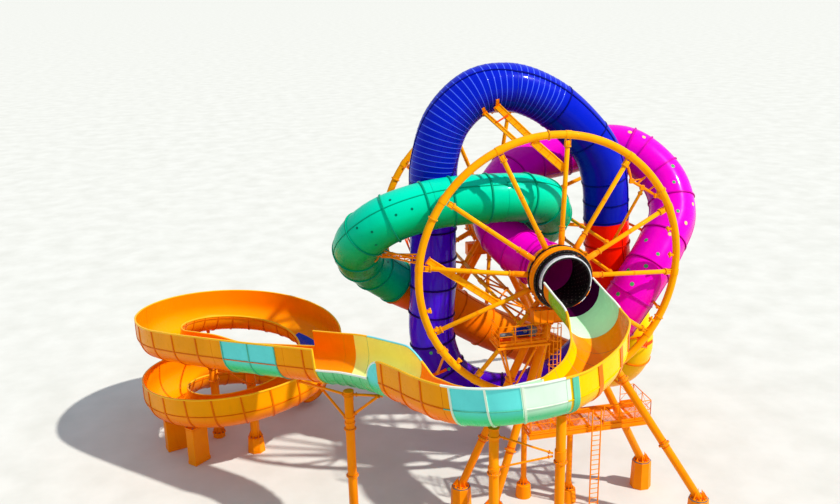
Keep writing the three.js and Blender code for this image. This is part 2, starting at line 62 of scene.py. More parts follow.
class Mat:
    """A small helper to build a node material."""

    def __init__(self, name):
        self.m = bpy.data.materials.new(name)
        self.m.use_nodes = True
        self.t = self.m.node_tree
        self.t.nodes.clear()
        self.out = self.t.nodes.new("ShaderNodeOutputMaterial")
        self.b = self.t.nodes.new("ShaderNodeBsdfPrincipled")
        self.t.links.new(self.b.outputs[0], self.out.inputs[0])

    def n(self, kind, **values):
        node = self.t.nodes.new(kind)
        for k, v in values.items():
            if hasattr(node, k):
                setattr(node, k, v)
            else:
                node.inputs[k].default_value = v
        return node

    def link(self, a, b):
        self.t.links.new(a, b)

    def noise(self, scale, detail=3.0, rough=0.55, stretch=None):
        tc = self.n("ShaderNodeTexCoord")
        src = tc.outputs["Object"]
        if stretch:
            mp = self.n("ShaderNodeMapping")
            mp.inputs["Scale"].default_value = stretch
            self.link(src, mp.inputs["Vector"])
            src = mp.outputs[0]
        nz = self.n("ShaderNodeTexNoise")
        nz.inputs["Scale"].default_value = scale
        nz.inputs["Detail"].default_value = detail
        nz.inputs["Roughness"].default_value = rough
        self.link(src, nz.inputs["Vector"])
        return nz.outputs["Fac"]

    def ramp(self, src, lo, hi, a=0.0, b=1.0):
        r = self.n("ShaderNodeMapRange")
        r.clamp = True
        for k, v in (("From Min", lo), ("From Max", hi), ("To Min", a), ("To Max", b)):
            r.inputs[k].default_value = v
        self.link(src, r.inputs["Value"])
        return r.outputs[0]

    def mix(self, fac, a, b):
        x = self.n("ShaderNodeMix", data_type="RGBA")
        ins = [i for i in x.inputs if i.type == "RGBA"]
        f = [i for i in x.inputs if i.name == "Factor" and i.type == "VALUE"][0]
        if isinstance(fac, float):
            f.default_value = fac
        else:
            self.link(fac, f)
        for s, v in zip(ins, (a, b)):
            if isinstance(v, tuple):
                s.default_value = v
            else:
                self.link(v, s)
        return [o for o in x.outputs if o.type == "RGBA"][0]

    def bump(self, src, strength, distance):
        b = self.n("ShaderNodeBump")
        b.inputs["Strength"].default_value = strength
        b.inputs["Distance"].default_value = distance
        self.link(src, b.inputs["Height"])
        self.link(b.outputs[0], self.b.inputs["Normal"])

    def normal_z(self):
        g = self.n("ShaderNodeNewGeometry")
        s = self.n("ShaderNodeSeparateXYZ")
        self.link(g.outputs["Normal"], s.inputs[0])
        return s.outputs[2]


def gelcoat(name, colour, low=None, painted_top_light=None, rough=0.2, streak=0.25, coat=0.03, band=(-0.75, -0.1)):
    """Glossy moulded fibreglass: slow colour drift, faint water marks, fine waviness; low is the tone of faces that
    look down, a painted shade and painted reflection of the ground, and the top colour of faces that look up is painted
    light.
    """
    M = Mat(name)
    c = lin(colour)
    dark = tuple(x * 0.80 for x in c[:3]) + (1.0,)
    col = M.mix(M.ramp(M.noise(0.55, 3.0), 0.35, 0.7, 0.0, 0.55), c, dark)
    # painted shade and painted ground reflection: faces that look down take the low colour
    if low:
        col = M.mix(M.ramp(M.normal_z(), band[0], band[1], 1.0, 0.0), col, lin(low))
    # painted light: faces that look up take the top colour
    if painted_top_light:
        col = M.mix(M.ramp(M.normal_z(), 0.0, 0.9, 0.0, 1.0), col, lin(painted_top_light))
    marks = M.ramp(M.noise(2.1, 5.0, 0.65, (1.0, 1.0, 0.18)), 0.56, 0.75, 0.0, streak)
    dirt = tuple(x * 0.5 + 0.002 for x in c[:3]) + (1.0,)
    col = M.mix(marks, col, dirt)
    M.link(col, M.b.inputs["Base Color"])
    r = M.ramp(M.noise(3.3, 4.0), 0.3, 0.75, rough, rough + 0.16)
    M.link(r, M.b.inputs["Roughness"])
    M.b.inputs["Coat Weight"].default_value = coat
    M.b.inputs["Coat Roughness"].default_value = 0.08
    M.b.inputs["IOR"].default_value = 1.24
    M.b.inputs["Specular Tint"].default_value = tuple(0.04 + 0.96 * x for x in c[:3]) + (1.0,)
    M.bump(M.noise(1.3, 2.0), 0.25, 0.03)
    return M.m


def painted(name, colour, edge, rough=0.42, rust=0.35, metal=0.0):
    """Painted steel: chalky patches, darker grime in patches, small rust specks."""
    M = Mat(name)
    c = lin(colour)
    pale = tuple(min(1.0, x * 1.12 + 0.003) for x in c[:3]) + (1.0,)
    col = M.mix(M.ramp(M.noise(0.9, 4.0), 0.35, 0.7), c, pale)
    col = M.mix(M.ramp(M.noise(3.0, 5.0, 0.7, (1.0, 1.0, 0.25)), 0.55, 0.8, 0.0, 0.55), col, lin(edge))
    spots = M.ramp(M.noise(17.0, 4.0, 0.6), 0.68, 0.76, 0.0, rust)
    col = M.mix(spots, col, lin("#5a2a10"))
    M.link(col, M.b.inputs["Base Color"])
    M.link(M.ramp(M.noise(6.0, 3.0), 0.3, 0.7, rough - 0.08, rough + 0.14), M.b.inputs["Roughness"])
    M.b.inputs["Metallic"].default_value = metal
    M.b.inputs["Coat Weight"].default_value = 0.05
    M.b.inputs["IOR"].default_value = 1.24
    M.b.inputs["Specular Tint"].default_value = tuple(0.04 + 0.96 * x for x in c[:3]) + (1.0,)
    M.bump(M.noise(28.0, 3.0), 0.18, 0.004)
    return M.m


def dull(name, colour, other, rough=0.6, metal=0.0, scale=5.0, bump=0.3):
    M = Mat(name)
    col = M.mix(M.ramp(M.noise(scale, 5.0, 0.65), 0.35, 0.7), lin(colour), lin(other))
    M.link(col, M.b.inputs["Base Color"])
    M.link(M.ramp(M.noise(scale * 2.0, 3.0), 0.3, 0.7, rough - 0.1, rough + 0.12), M.b.inputs["Roughness"])
    M.b.inputs["Metallic"].default_value = metal
    M.bump(M.noise(scale * 6.0, 3.0), bump, 0.006)
    return M.m


MATS = {
    # each low colour below is painted shade on faces that look down; each top colour is painted light on faces that
    # look up
    "green": gelcoat("green_gel", "#00cf9a", low="#008f34", painted_top_light="#00d8b4", rough=0.22, streak=0.12, band=(-0.75, 0.15)),
    "green_rib": gelcoat("green_rib_gel", "#00a07c", low="#007038", rough=0.3, streak=0.2),
    "blue": gelcoat("blue_gel", "#021cc4", low="#0e0478", band=(-0.65, 0.1), rough=0.22, streak=0.06, coat=0.12),
    # lighter blue for the rib crests: a painted highlight
    "blue_rib_highlight": gelcoat("blue_rib_highlight_gel", "#4a6af6", low="#2a20b4", rough=0.3, streak=0.1),
    "blue_rib": gelcoat("blue_rib_gel", "#020c78", rough=0.3, streak=0.2),
    "violet": gelcoat("violet_gel", "#4402e0", rough=0.12, streak=0.06, coat=0.35),
    "purple": gelcoat("purple_gel", "#4402b0", rough=0.18, streak=0.1, coat=0.15),
    "purple_rib": gelcoat("purple_rib_gel", "#240260", rough=0.3, streak=0.2),
    "magenta": gelcoat("magenta_gel", "#f202cc", low="#c40248", rough=0.2, streak=0.1, coat=0.1, band=(-0.6, 0.25)),
    "magenta_rib": gelcoat("magenta_rib_gel", "#d004ac", low="#98025c", rough=0.3, streak=0.2),
    "red": gelcoat("red_gel", "#ff1c02", low="#e80402", rough=0.2, streak=0.1),
    "red_rib": gelcoat("red_rib_gel", "#c41402", rough=0.3, streak=0.2),
    "orange": gelcoat("orange_gel", "#ffa202", low="#ff7c02", rough=0.24, streak=0.1, band=(-0.6, 0.0)),
    "orange_deep": gelcoat("orange_deep_gel", "#ff7602", low="#f45202", painted_top_light="#ff8a02", rough=0.26, streak=0.1),
    "orange_rib": gelcoat("orange_rib_gel", "#ee7402", low="#d65202", rough=0.3, streak=0.15),
    "orange_in": gelcoat("orange_inside_gel", "#ff8a02", painted_top_light="#ffa002", rough=0.18, streak=0.14, coat=0.1),
    "yellow": gelcoat("yellow_gel", "#ffcc02", low="#ffa402", rough=0.22, streak=0.1),
    "yellow_rib": gelcoat("yellow_rib_gel", "#f27a02", rough=0.3, streak=0.2),
    # rim colour is the lip's own yellow with a painted highlight along the rolled rim
    "rim_yellow": gelcoat("rim_yellow_gel", "#ffc022", rough=0.25, streak=0.12),
    "mint": gelcoat("mint_gel", "#dff6e2", low="#56cf8c", rough=0.22, streak=0.14, band=(-0.5, -0.05)),
    "mint_in": gelcoat("mint_inside_gel", "#c2ffd6", painted_top_light="#ceffce", rough=0.18, streak=0.1, coat=0.1),
    "mint_lime": gelcoat("mint_lime_gel", "#9ad222", low="#4c9a0c", rough=0.22, streak=0.14),
    # rim colour is the lip's own white with a painted highlight along the rolled rim
    "rim_white": gelcoat("rim_white_gel", "#f2fbef", rough=0.25, streak=0.15),
    "rim_blue": gelcoat("rim_blue_gel", "#7fdff0", rough=0.25, streak=0.15),
    "cyan": gelcoat("cyan_gel", "#6ceae4", low="#3cd07c", rough=0.22, streak=0.1, band=(-0.5, -0.05)),
    "cyan_in": gelcoat("cyan_inside_gel", "#4ed8f0", rough=0.18, streak=0.1, coat=0.1),
    "teal": gelcoat("teal_gel", "#62c8a8", low="#3aa868", rough=0.3, streak=0.15),
    "rib_pale": gelcoat("rib_pale_gel", "#eafae2", low="#a2e0a6", rough=0.3, streak=0.1),
    "low_green": gelcoat("low_green_gel", "#86e0a4", low="#3ab85e", rough=0.22, streak=0.16),
    "cream": gelcoat("cream_gel", "#c6ea96", low="#8ccc62", rough=0.22, streak=0.14),
    "cream_in": gelcoat("cream_inside_gel", "#fff87c", painted_top_light="#f2ffa4", rough=0.18, streak=0.1, coat=0.1),
    "mauve_in": gelcoat("mauve_inside_gel", "#8c0262", rough=0.25, streak=0.3),
    "bore_pink": gelcoat("bore_pink_gel", "#f402b4", rough=0.22, streak=0.15, coat=0.1),
    "mauve_dark": gelcoat("mauve_dark_gel", "#400234", rough=0.25, streak=0.3, coat=0.2),
    "patch_blue": gelcoat("patch_blue_gel", "#0a4ad8", rough=0.2, streak=0.1, coat=0.1),
    "dot_green": gelcoat("dot_green_gel", "#4cae62", rough=0.3, streak=0.2),
    "dot_pale": gelcoat("dot_pale_gel", "#f4cc82", rough=0.3, streak=0.2),
    "dot_dark": gelcoat("dot_dark_gel", "#026c52", rough=0.35, streak=0.2),
    "steel_y": painted("ring_steel", "#ffa402", "#ee8402", rust=0.2),
    "steel_o": painted("frame_steel", "#ff8c02", "#e06402", rust=0.25),
    "steel_r": painted("deep_frame_steel", "#ec4e04", "#b03802", rust=0.5),
    "black": dull("black_steel", "#141112", "#262022", rough=0.45, metal=0.5, scale=8.0),
    "zinc": dull("zinc_bolts", "#8f8a80", "#5f5a50", rough=0.45, metal=0.7, scale=12.0, bump=0.15),
    "silver": dull("silver_lip", "#eef2f6", "#c0c8d4", rough=0.3, metal=0.2, scale=7.0, bump=0.1),
    "grey": dull("grey_castings", "#7d8389", "#5c6166", rough=0.5, metal=0.4, scale=9.0),
    "motor": painted("motor_blue", "#0a2c9c", "#061c5c", rough=0.4, rust=0.2),
    "grate": painted("grating", "#ea7a06", "#b85202", rough=0.6, rust=0.5),
    "gasket": dull("joint_sealant", "#3a3f3a", "#565c55", rough=0.7, scale=20.0),
}


# ---------------------------------------------------------------- mesh building
class Mesh:
    def __init__(self):
        self.v, self.f, self.m, self.s, self.n, self.names = [], [], [], [], 0, []

    def mid(self, mat):
        if mat not in self.names:
            self.names.append(mat)
        return self.names.index(mat)

    def add(self, V, F, mat, smooth=True):
        """F is a list of index tuples; mat is a name or one name per face."""
        V = np.asarray(V, float)
        self.v.append(V)
        k = self.n
        mats = mat if isinstance(mat, list) else [mat] * len(F)
        for f, m in zip(F, mats):
            self.f.append(tuple(i + k for i in f))
            self.m.append(self.mid(m))
            self.s.append(smooth)
        self.n += len(V)
        return self

    def build(self, name):
        me = bpy.data.meshes.new(name)
        me.from_pydata(np.vstack(self.v).tolist(), [], self.f)
        for n in self.names:
            me.materials.append(MATS[n])
        me.polygons.foreach_set("material_index", self.m)
        me.polygons.foreach_set("use_smooth", self.s)
        me.update()
        o = bpy.data.objects.new(name, me)
        bpy.context.scene.collection.objects.link(o)
        return o


def grid(mb, V, mat, close_u=False, close_v=False, smooth=True, flip=False):
    """V is (n, m, 3): quads between neighbours; mat is a name or f(i, j)."""
    n, m = V.shape[:2]
    F, ms = [], []
    for i in range(n if close_u else n - 1):
        a, b = i * m, ((i + 1) % n) * m
        for j in range(m if close_v else m - 1):
            k = (j + 1) % m
            q = (a + j, b + j, b + k, a + k)
            F.append(q[::-1] if flip else q)
            if callable(mat):
                ms.append(mat(i, j))
    mb.add(V.reshape(-1, 3), F, ms if callable(mat) else mat, smooth)


def frame_of(d):
    d = nrm(d)
    a = A([1.0, 0, 0]) if abs(d[0]) < 0.8 else A([0, 1.0, 0])
    n = nrm(np.cross(d, a))
    return n, np.cross(d, n), d


def lathe(mb, c, d, prof, mat, sides=48, smooth=False, start=0.0, span=None, n0=None):
    """prof is [(r, h)…], a closed loop turned round the axis d through c. Sharp profile corners stay sharp."""
    n, b, d = frame_of(d)
    if n0 is not None:
        n = nrm(np.asarray(n0, float) - d * np.dot(n0, d))
        b = np.cross(d, n)
    full = span is None
    cnt = sides if full else sides + 1
    ang = start + (2 * math.pi if full else span) * np.arange(cnt) / sides
    ring = np.cos(ang)[:, None] * n + np.sin(ang)[:, None] * b
    P = list(prof)
    for (r0, h0), (r1, h1) in zip(P, P[1:] + P[:1]):
        if abs(r0) < 1e-9 and abs(r1) < 1e-9:
            continue
        V = np.stack([c + ring * r0 + d * h0, c + ring * r1 + d * h1], 1)
        grid(mb, V, mat, close_u=full, smooth=True)
    if not full:
        for k, fl in ((0, False), (cnt - 1, True)):
            V = A([c + ring[k] * r + d * h for r, h in P])
            f = tuple(range(len(P)))
            mb.add(V, [f[::-1] if fl else f], mat, False)


def bar(mb, a, b, r, mat, sides=14, r2=None, cham=0.012, caps=True):
    """Round bar with a small chamfer at both ends."""
    a, b = np.asarray(a, float), np.asarray(b, float)
    r2 = r if r2 is None else r2
    L = np.linalg.norm(b - a)
    n, e, d = frame_of(b - a)
    ang = 2 * math.pi * np.arange(sides) / sides
    ring = np.cos(ang)[:, None] * n + np.sin(ang)[:, None] * e
    c = min(cham, L * 0.2, r * 0.5)
    rows = [a + ring * (r - c), a + d * c + ring * r, b - d * c + ring * r2, b + ring * (r2 - c)]
    grid(mb, np.stack(rows, 0), mat, close_v=True, flip=True)
    if caps:
        mb.add(rows[0], [tuple(range(sides))[::-1]], mat, False)
        mb.add(rows[3], [tuple(range(sides))], mat, False)


def box(mb, c, size, mat, axes=None, bev=0.01):
    """Bevelled box; size along the three axes."""
    c = np.asarray(c, float)
    X = np.eye(3) if axes is None else A([nrm(a) for a in axes])
    h = A(size, float) / 2
    b = min(bev, *(h * 0.45))
    V, idx = [], {}
    for k in range(3):
        for sx in (-1, 1):
            for sy in (-1, 1):
                for sz in (-1, 1):
                    s = (sx, sy, sz)
                    p = [s[i] * (h[i] - (0 if i == k else b)) for i in range(3)]
                    idx[(k, s)] = len(V)
                    V.append(c + p[0] * X[0] + p[1] * X[1] + p[2] * X[2])
    F = []
    mid = c

    def put(ids):
        P = A([V[i] for i in ids])
        nn = np.cross(P[1] - P[0], P[2] - P[0])
        F.append(tuple(ids) if np.dot(nn, P.mean(0) - mid) > 0 else tuple(ids[::-1]))

    for k in range(3):
        o = [i for i in range(3) if i != k]
        for s in (-1, 1):
            ids = []
            for u, w in ((-1, -1), (1, -1), (1, 1), (-1, 1)):
                q = [0, 0, 0]
                q[k], q[o[0]], q[o[1]] = s, u, w
                ids.append(idx[(k, tuple(q))])
            put(ids)
        # chamfers between the faces of the other two axes
        for u in (-1, 1):
            for w in (-1, 1):
                q0, q1 = [0, 0, 0], [0, 0, 0]
                q0[k], q1[k] = -1, 1
                q0[o[0]] = q1[o[0]] = u
                q0[o[1]] = q1[o[1]] = w
                put([idx[(o[0], tuple(q0))], idx[(o[0], tuple(q1))], idx[(o[1], tuple(q1))], idx[(o[1], tuple(q0))]])
    for sx in (-1, 1):
        for sy in (-1, 1):
            for sz in (-1, 1):
                s = (sx, sy, sz)
                put([idx[(0, s)], idx[(1, s)], idx[(2, s)]])
    mb.add(A(V), F, mat, False)


def beam(mb, a, b, w, h, mat, up=UP, bev=0.008):
    """Rectangular bar from a to b, h measured towards up."""
    a, b = np.asarray(a, float), np.asarray(b, float)
    d = nrm(b - a)
    s = nrm(np.cross(d, up)) if np.linalg.norm(np.cross(d, up)) > 1e-3 else A([1.0, 0, 0])
    box(mb, (a + b) / 2, (np.linalg.norm(b - a), w, h), mat, (d, s, np.cross(s, d)), bev)


def bolt(mb, p, d, r=0.022, h=0.022, mat="zinc"):
    """Hexagon head with a washer."""
    n, b, d = frame_of(d)
    p = np.asarray(p, float)
    for rr, z0, z1, k in ((r * 1.5, 0.0, h * 0.22, 8), (r, h * 0.22, h, 6)) if r > 0.0165 else ((r * 1.15, 0.0, h, 6),):
        ang = 2 * math.pi * np.arange(k) / k
        ring = np.cos(ang)[:, None] * n + np.sin(ang)[:, None] * b
        V = np.stack([p + d * z0 + ring * rr, p + d * z1 + ring * rr * 0.94], 0)
        grid(mb, V, mat, close_v=True, smooth=False, flip=True)
        mb.add(V[1], [tuple(range(k))], mat, False)


def flange_pair(mb, c, d, r0, r1, w, mat, bolts=0, sides=48, gap=0.006, bolt_r=0.02, gmat="gasket", mbolt="zinc"):
    """Two bolted collars face to face round the axis d."""
    d = nrm(d)
    e = min(0.008, w * 0.2)
    for s in (-1, 1):
        x0, x1 = s * gap / 2, s * w / 2
        prof = [(r0, x0), (r1, x0), (r1, x1 - s * e), (r1 - e, x1), (r0, x1)]
        if s < 0:
            prof = prof[::-1]
        lathe(mb, c, d, prof, mat, sides)
    lathe(mb, c, d, [(r0, -gap / 2), (r1 - 0.012, -gap / 2), (r1 - 0.012, gap / 2), (r0, gap / 2)], gmat, sides)
    n, b, _ = frame_of(d)
    rb = (r0 + r1) / 2
    for i in range(bolts):
        a = 2 * math.pi * (i + 0.5) / bolts
        p = c + (n * math.cos(a) + b * math.sin(a)) * rb
        bolt(mb, p + d * w / 2, d, bolt_r, bolt_r, mbolt)
        bolt(mb, p - d * w / 2, -d, bolt_r, bolt_r, mbolt)


def done(mb, name, body, nodes=()):
    o = mb.build(name)
    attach(o, body)
    if nodes:
        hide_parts(*nodes)
    return o


# ---------------------------------------------------------------- paths
class Path:
    """Centripetal curve through the points; u runs over the control points."""

    def __init__(self, pts):
        self.P = P = A(pts, float)
        self.l = l = len(P)
        self.c = []
        for i in range(l - 1):
            x0 = P[i - 1] if i > 0 else 2 * P[0] - P[1]
            x1, x2 = P[i], P[i + 1]
            x3 = P[i + 2] if i + 2 < l else 2 * P[l - 1] - P[l - 2]
            d0, d1, d2 = (max(np.sum((a - b) ** 2) ** 0.25, 1e-4) for a, b in ((x0, x1), (x1, x2), (x2, x3)))
            t1 = ((x1 - x0) / d0 - (x2 - x0) / (d0 + d1) + (x2 - x1) / d1) * d1
            t2 = ((x2 - x1) / d1 - (x3 - x1) / (d1 + d2) + (x3 - x2) / d2) * d1
            self.c.append((x1, t1, -3 * x1 + 3 * x2 - 2 * t1 - t2, 2 * x1 - 2 * x2 + t1 + t2))
        self.U = np.linspace(0, l - 1, (l - 1) * 60 + 1)
        S = self.pos(self.U)
        self.L = np.concatenate([[0], np.cumsum(np.linalg.norm(np.diff(S, axis=0), axis=1))])

    def _e(self, u, der):
        out = []
        for x in np.atleast_1d(u):
            i = min(max(int(x), 0), self.l - 2)
            w = x - i
            c0, c1, c2, c3 = self.c[i]
            out.append(c1 + 2 * c2 * w + 3 * c3 * w * w if der else c0 + c1 * w + c2 * w * w + c3 * w**3)
        return A(out)

    def pos(self, u):
        return self._e(u, False)

    def tan(self, u):
        t = self._e(u, True)
        return t / np.linalg.norm(t, axis=1)[:, None]

    def s(self, u):
        return np.interp(u, self.U, self.L)

    def u(self, s):
        return np.interp(s, self.L, self.U)

    def level(self, u):
        """side (riders' left) and up of an open flume."""
        t = self.tan(u)
        side = np.cross(UP, t)
        side /= np.linalg.norm(side, axis=1)[:, None]
        return side, np.cross(t, side)

    def carry(self):
        """A frame carried along without turning, kept for interpolation."""
        T = self.tan(self.U)
        n = nrm(UP - T[0] * np.dot(UP, T[0]))
        N = [n]
        for t in T[1:]:
            n = nrm(n - t * np.dot(n, t))
            N.append(n)
        self.N = A(N)

    def round(self, u):
        u = np.atleast_1d(u)
        t = self.tan(u)
        n = A([[np.interp(x, self.U, self.N[:, k]) for k in range(3)] for x in u])
        n -= t * np.sum(n * t, 1)[:, None]
        n /= np.linalg.norm(n, axis=1)[:, None]
        return n, np.cross(t, n)


TUBE = [
    (0, 12.3, 0), (0, 11, 0), (0, 9.7, 0), (0.12, 8.9, 0.02), (0.6, 7.6, 0.25), (1.45, 6, 0.8), (1.25, 4, 2.25),
    (0, 2.6, 3.4), (-2.4, 2, 3.8), (-6.2, 2, 3.7), (-8.9, 2.1, 2.95), (-10.1, 3.1, 1.7), (-10.0, 4.7, 0.4),
    (-9.3, 6.3, -0.7), (-7.2, 7.8, -2.6), (-4.5, 8.1, -4.2), (-1.9, 8.1, -6), (1.5, 8, -7.8), (4.2, 6.6, -8.9),
    (6.45, 4.9, -8.6), (7.0, 4.05, -7), (6.75, 4.15, -5), (6.2, 4.7, -3.2), (5.65, 4.95, -1.2), (5.4, 4.95, 1.2),
    (5.15, 4.8, 3.6), (4.55, 4.7, 5.4), (3.2, 4.7, 7.1), (1.3, 4.7, 8.65), (-0.9, 4.7, 9.5), (-2.9, 4.7, 9.3),
    (-4.6, 4.75, 7.8), (-5.35, 4.9, 5.5), (-5.45, 5, 3.25), (-5.5, 5.1, -2), (-5.6, 5.1, -5.5), (-4.6, 4.8, -8),
    (-2.2, 4, -9.2), (0.8, 3, -8.6), (3, 2.2, -6.6), (4.6, 1.8, -4.3), (6.2, 1.75, -1.9), (8, 2.8, -0.1),
    (9.3, 4, 1.5), (9.25, 5.4, 3.35), (7.6, 6.9, 5.0), (5.5, 7.9, 5.1), (3.4, 8.15, 4.7), (1.5, 8.0, 4.4),
    (-0.1, 7.3, 3.8), (-1.2, 6.1, 2.85), (-1.75, 4.4, 1.55), (-0.95, 2.25, 0.4), (-0.15, 0.95, 0.02), (0, 0.2, 0),
    (0, -1, 0), (0, -2.2, 0),
]
tube = Path(A(TUBE, float) + O)
tube.carry()
HEL = dict(x=-16.92, y=11.05, r=5.05, z=-4.85, drop=4.2, a=-133.0)
FLUME = [
    (0, -2.45, -0.12), (0, -4, -0.33), (0, -5.7, -0.58), (-0.36, -7.4, -0.95), (-1.38, -8.85, -1.35),
    (-2.9, -9.85, -1.7), (-3.7, -10.05, -1.82), (-5.3, -10.0, -2.0), (-6.5, -9.55, -2.2), (-7.6, -8.65, -2.42),
    (-8.35, -7.4, -2.6), (-8.9, -5.9, -2.8), (-9.5, -4.4, -3.0), (-10.35, -2.7, -3.25), (-11.4, -1.3, -3.45),
    (-12.45, -0.3, -3.62), (-13.95, 1.12, -3.86), (-15.5, 2.58, -4.1), (-17.7, 4.64, -4.42),
]
for i in range(26):
    a = math.radians(HEL["a"] - 22.5 * i)
    FLUME.append((HEL["x"] + HEL["r"] * math.cos(a), HEL["y"] + HEL["r"] * math.sin(a), HEL["z"] - HEL["drop"] * i / 16))
flume = Path(A(FLUME, float) + O)

# the photograph's camera, also used to set the spots on the tubes where they are seen
PITCH, YAW, ROLL = (math.radians(x) for x in (17.2, 12.5, -1.27))
EYE = A([-17.14, -43.97, 15.64]) + O
FWD = A([math.sin(YAW) * math.cos(PITCH), math.cos(YAW) * math.cos(PITCH), -math.sin(PITCH)])
RT0 = A([math.cos(YAW), -math.sin(YAW), 0.0])
UP0 = np.cross(RT0, FWD)
RT = math.cos(ROLL) * RT0 + math.sin(ROLL) * UP0
UPV = -math.sin(ROLL) * RT0 + math.cos(ROLL) * UP0
FOCAL = 892.0


def ray(px, py):
    return nrm(FWD + RT * (px - 420) / FOCAL + UPV * (252 - py) / FOCAL)


# ---------------------------------------------------------------- the closed tube
R_TUBE, R_BORE, R_JOINT = 1.358, 1.295, 1.428
TOP = 23.985  # nothing on the arch stands higher


def tube_section(name, nodes, u0, u1, mat, rib, seam_dir, bore=None, pitch=2.0, ribs=(), seams=(0.0, math.pi),
                 seam_mat=None, thick=0.034, wide=0.05, first=True, at=None, seam_u=None, rib_height=0.013, joint_r=None,
                 bore_fn=None, line=None, seam_end=None, end_mat=None):
    """One colour of the closed tube. seam_dir is where the long seam looks at seam_u (the middle unless given); at lists the joints' places."""
    mb = Mesh()
    s0, s1 = tube.s(u0), tube.s(u1)
    eps = 0.006
    fine = bool(ribs)
    S = set(np.linspace(s0 + eps, s1 - eps, max(6, int((s1 - s0) / 0.22))))
    rib_s = []
    for a, b, step in ribs:
        x = tube.s(a)
        while x < tube.s(b):
            rib_s.append(x)
            for d in (-0.05, -0.034, -0.02, 0.0, 0.02, 0.034, 0.05):
                S.add(min(max(x + d, s0 + eps), s1 - eps))
            x += step
    S = A(sorted(S))
    rib_s = A(rib_s) if rib_s else A([1e9])
    U = tube.u(S)
    C = tube.pos(U)
    N, B = tube.round(U)
    m = 48
    ang = 2 * math.pi * np.arange(m) / m
    ca, sa = np.cos(ang)[None, :, None], np.sin(ang)[None, :, None]
    dist = np.abs(S[:, None] - rib_s[None, :]).min(1)
    rr = R_TUBE + np.clip(1 - dist / 0.034, 0, 1) ** 0.7 * rib_height
    outer = C[:, None] + (N[:, None] * ca + B[:, None] * sa) * rr[:, None, None]
    outer[..., 2] = np.minimum(outer[..., 2], TOP)
    # rib crests take the lighter line material, a painted highlight along each rib
    grid(mb, outer, (lambda i, j: line if max(dist[i], dist[min(i + 1, len(S) - 1)]) < 0.021 else mat) if line else mat, close_v=True, flip=True)
    inner = C[::2][:, None] + (N[::2][:, None] * ca + B[::2][:, None] * sa) * R_BORE
    if (len(S) - 1) % 2:
        inner = np.concatenate([inner, C[-1:][:, None] + (N[-1:][:, None] * ca + B[-1:][:, None] * sa) * R_BORE], 0)
    s_in = S[::2]
    grid(mb, inner, (lambda i, j: bore_fn(tube.u(s_in[min(i, len(s_in) - 1)]))) if bore_fn else (bore or mat), close_v=True)
    for k, fl in ((0, False), (-1, True)):
        V = np.stack([outer[k], C[k][None] + (N[k][None] * ca[0] + B[k][None] * sa[0]) * R_BORE], 0)
        grid(mb, V, (end_mat or rib) if fl else rib, close_v=True, flip=not fl, smooth=False)
    # joints
    count = max(1, round((s1 - s0) / pitch))
    js = [s0 + (s1 - s0) * k / count for k in range(0 if first else 1, count)] if at is None else [float(tube.s(x)) for x in at]
    tseg = tube.tan
    for s in js:
        u = tube.u(s if s > s0 + 0.01 else s0 + 0.06)
        c, t = tube.pos(u)[0], tseg(u)[0]
        flange_pair(mb, c, t, R_TUBE - 0.01, joint_r or R_JOINT, 0.09, rib, bolts=28, sides=48, gap=0.004, bolt_r=0.012, gmat=rib, mbolt=rib)
    # long seams with small bolts
    um = tube.u((s0 + s1) / 2) if seam_u is None else seam_u
    n, b = tube.round(um)
    sd = nrm(seam_dir)
    base = math.atan2(np.dot(b[0], sd), np.dot(n[0], sd))
    turn = 0.0
    if seam_end is not None:
        n, b = tube.round(u1)
        e = nrm(seam_end)
        turn = (math.atan2(np.dot(b[0], e), np.dot(n[0], e)) - base + math.pi) % (2 * math.pi) - math.pi
    keep = np.concatenate([[0], np.arange(3, len(S) - 3, 3 if fine else 1), [len(S) - 1]]) if len(S) > 10 else np.arange(len(S))
    for off in seams:
        a = (base + off + turn * (S - s0) / (s1 - s0))[:, None]
        rad = N * np.cos(a) + B * np.sin(a)
        tan_ = -N * np.sin(a) + B * np.cos(a)
        rows = []
        for x, h in ((-wide / 2, -0.01), (-wide / 2, thick * 0.8), (-wide / 2 + 0.01, thick), (wide / 2 - 0.01, thick), (wide / 2, thick * 0.8), (wide / 2, -0.01)):
            rows.append(C + rad * (R_TUBE + h) + tan_ * x)
        rows = np.stack(rows, 1)[keep]
        rows[..., 2] = np.minimum(rows[..., 2], TOP)
        grid(mb, rows, seam_mat or rib, flip=True, smooth=False)
        for s in np.arange(s0 + 0.3, s1 - 0.2, 0.45):
            u = tube.u(s)
            c = tube.pos(u)[0]
            nn, bb = tube.round(u)
            a = base + off + turn * (s - s0) / (s1 - s0)
            r_ = nn[0] * math.cos(a) + bb[0] * math.sin(a)
            t_ = -nn[0] * math.sin(a) + bb[0] * math.cos(a)
            if (c + r_ * (R_TUBE + thick))[2] > TOP - 0.02:
                continue
            bolt(mb, c + r_ * (R_TUBE + thick * 0.45) + t_ * wide / 2, t_, 0.012, 0.012, seam_mat or rib)
    return done(mb, name, "wheel", nodes)


ARCH = dict(seam_dir=(0.47, -0.70, 0.54), seam_u=27.2)
tube_section("entry_tube_skin", ["entry_tube"], 0, 8, "green", "green_rib", (0.2, -0.6, 0.75), first=False,
             at=(0.12, 1.4, 3.0, 3.9, 4.9, 5.9, 6.75, 7.4), seam_u=7.6)
tube_section("green_front_skin", ["green_tube_front"], 8, 9, "green", "green_rib", (0, -0.72, 0.7), at=(8.22, 8.72), seam_u=8.5)
tube_section("green_return_skin", ["green_tube_return"], 9, 14, "green", "green_rib", (0, -0.72, 0.7), at=(9.15, 9.85, 10.65, 11.55, 12.5, 13.3, 13.93), seam_u=8.5)
tube_section("orange_lower_skin", ["orange_tube_lower"], 14, 18, "orange_deep", "orange_rib", (0.35, -0.35, 0.87), pitch=2.2)
tube_section("yellow_skin", ["yellow_tube"], 18, 22, "yellow", "yellow_rib", (1, -0.2, 0.2), pitch=1.4)
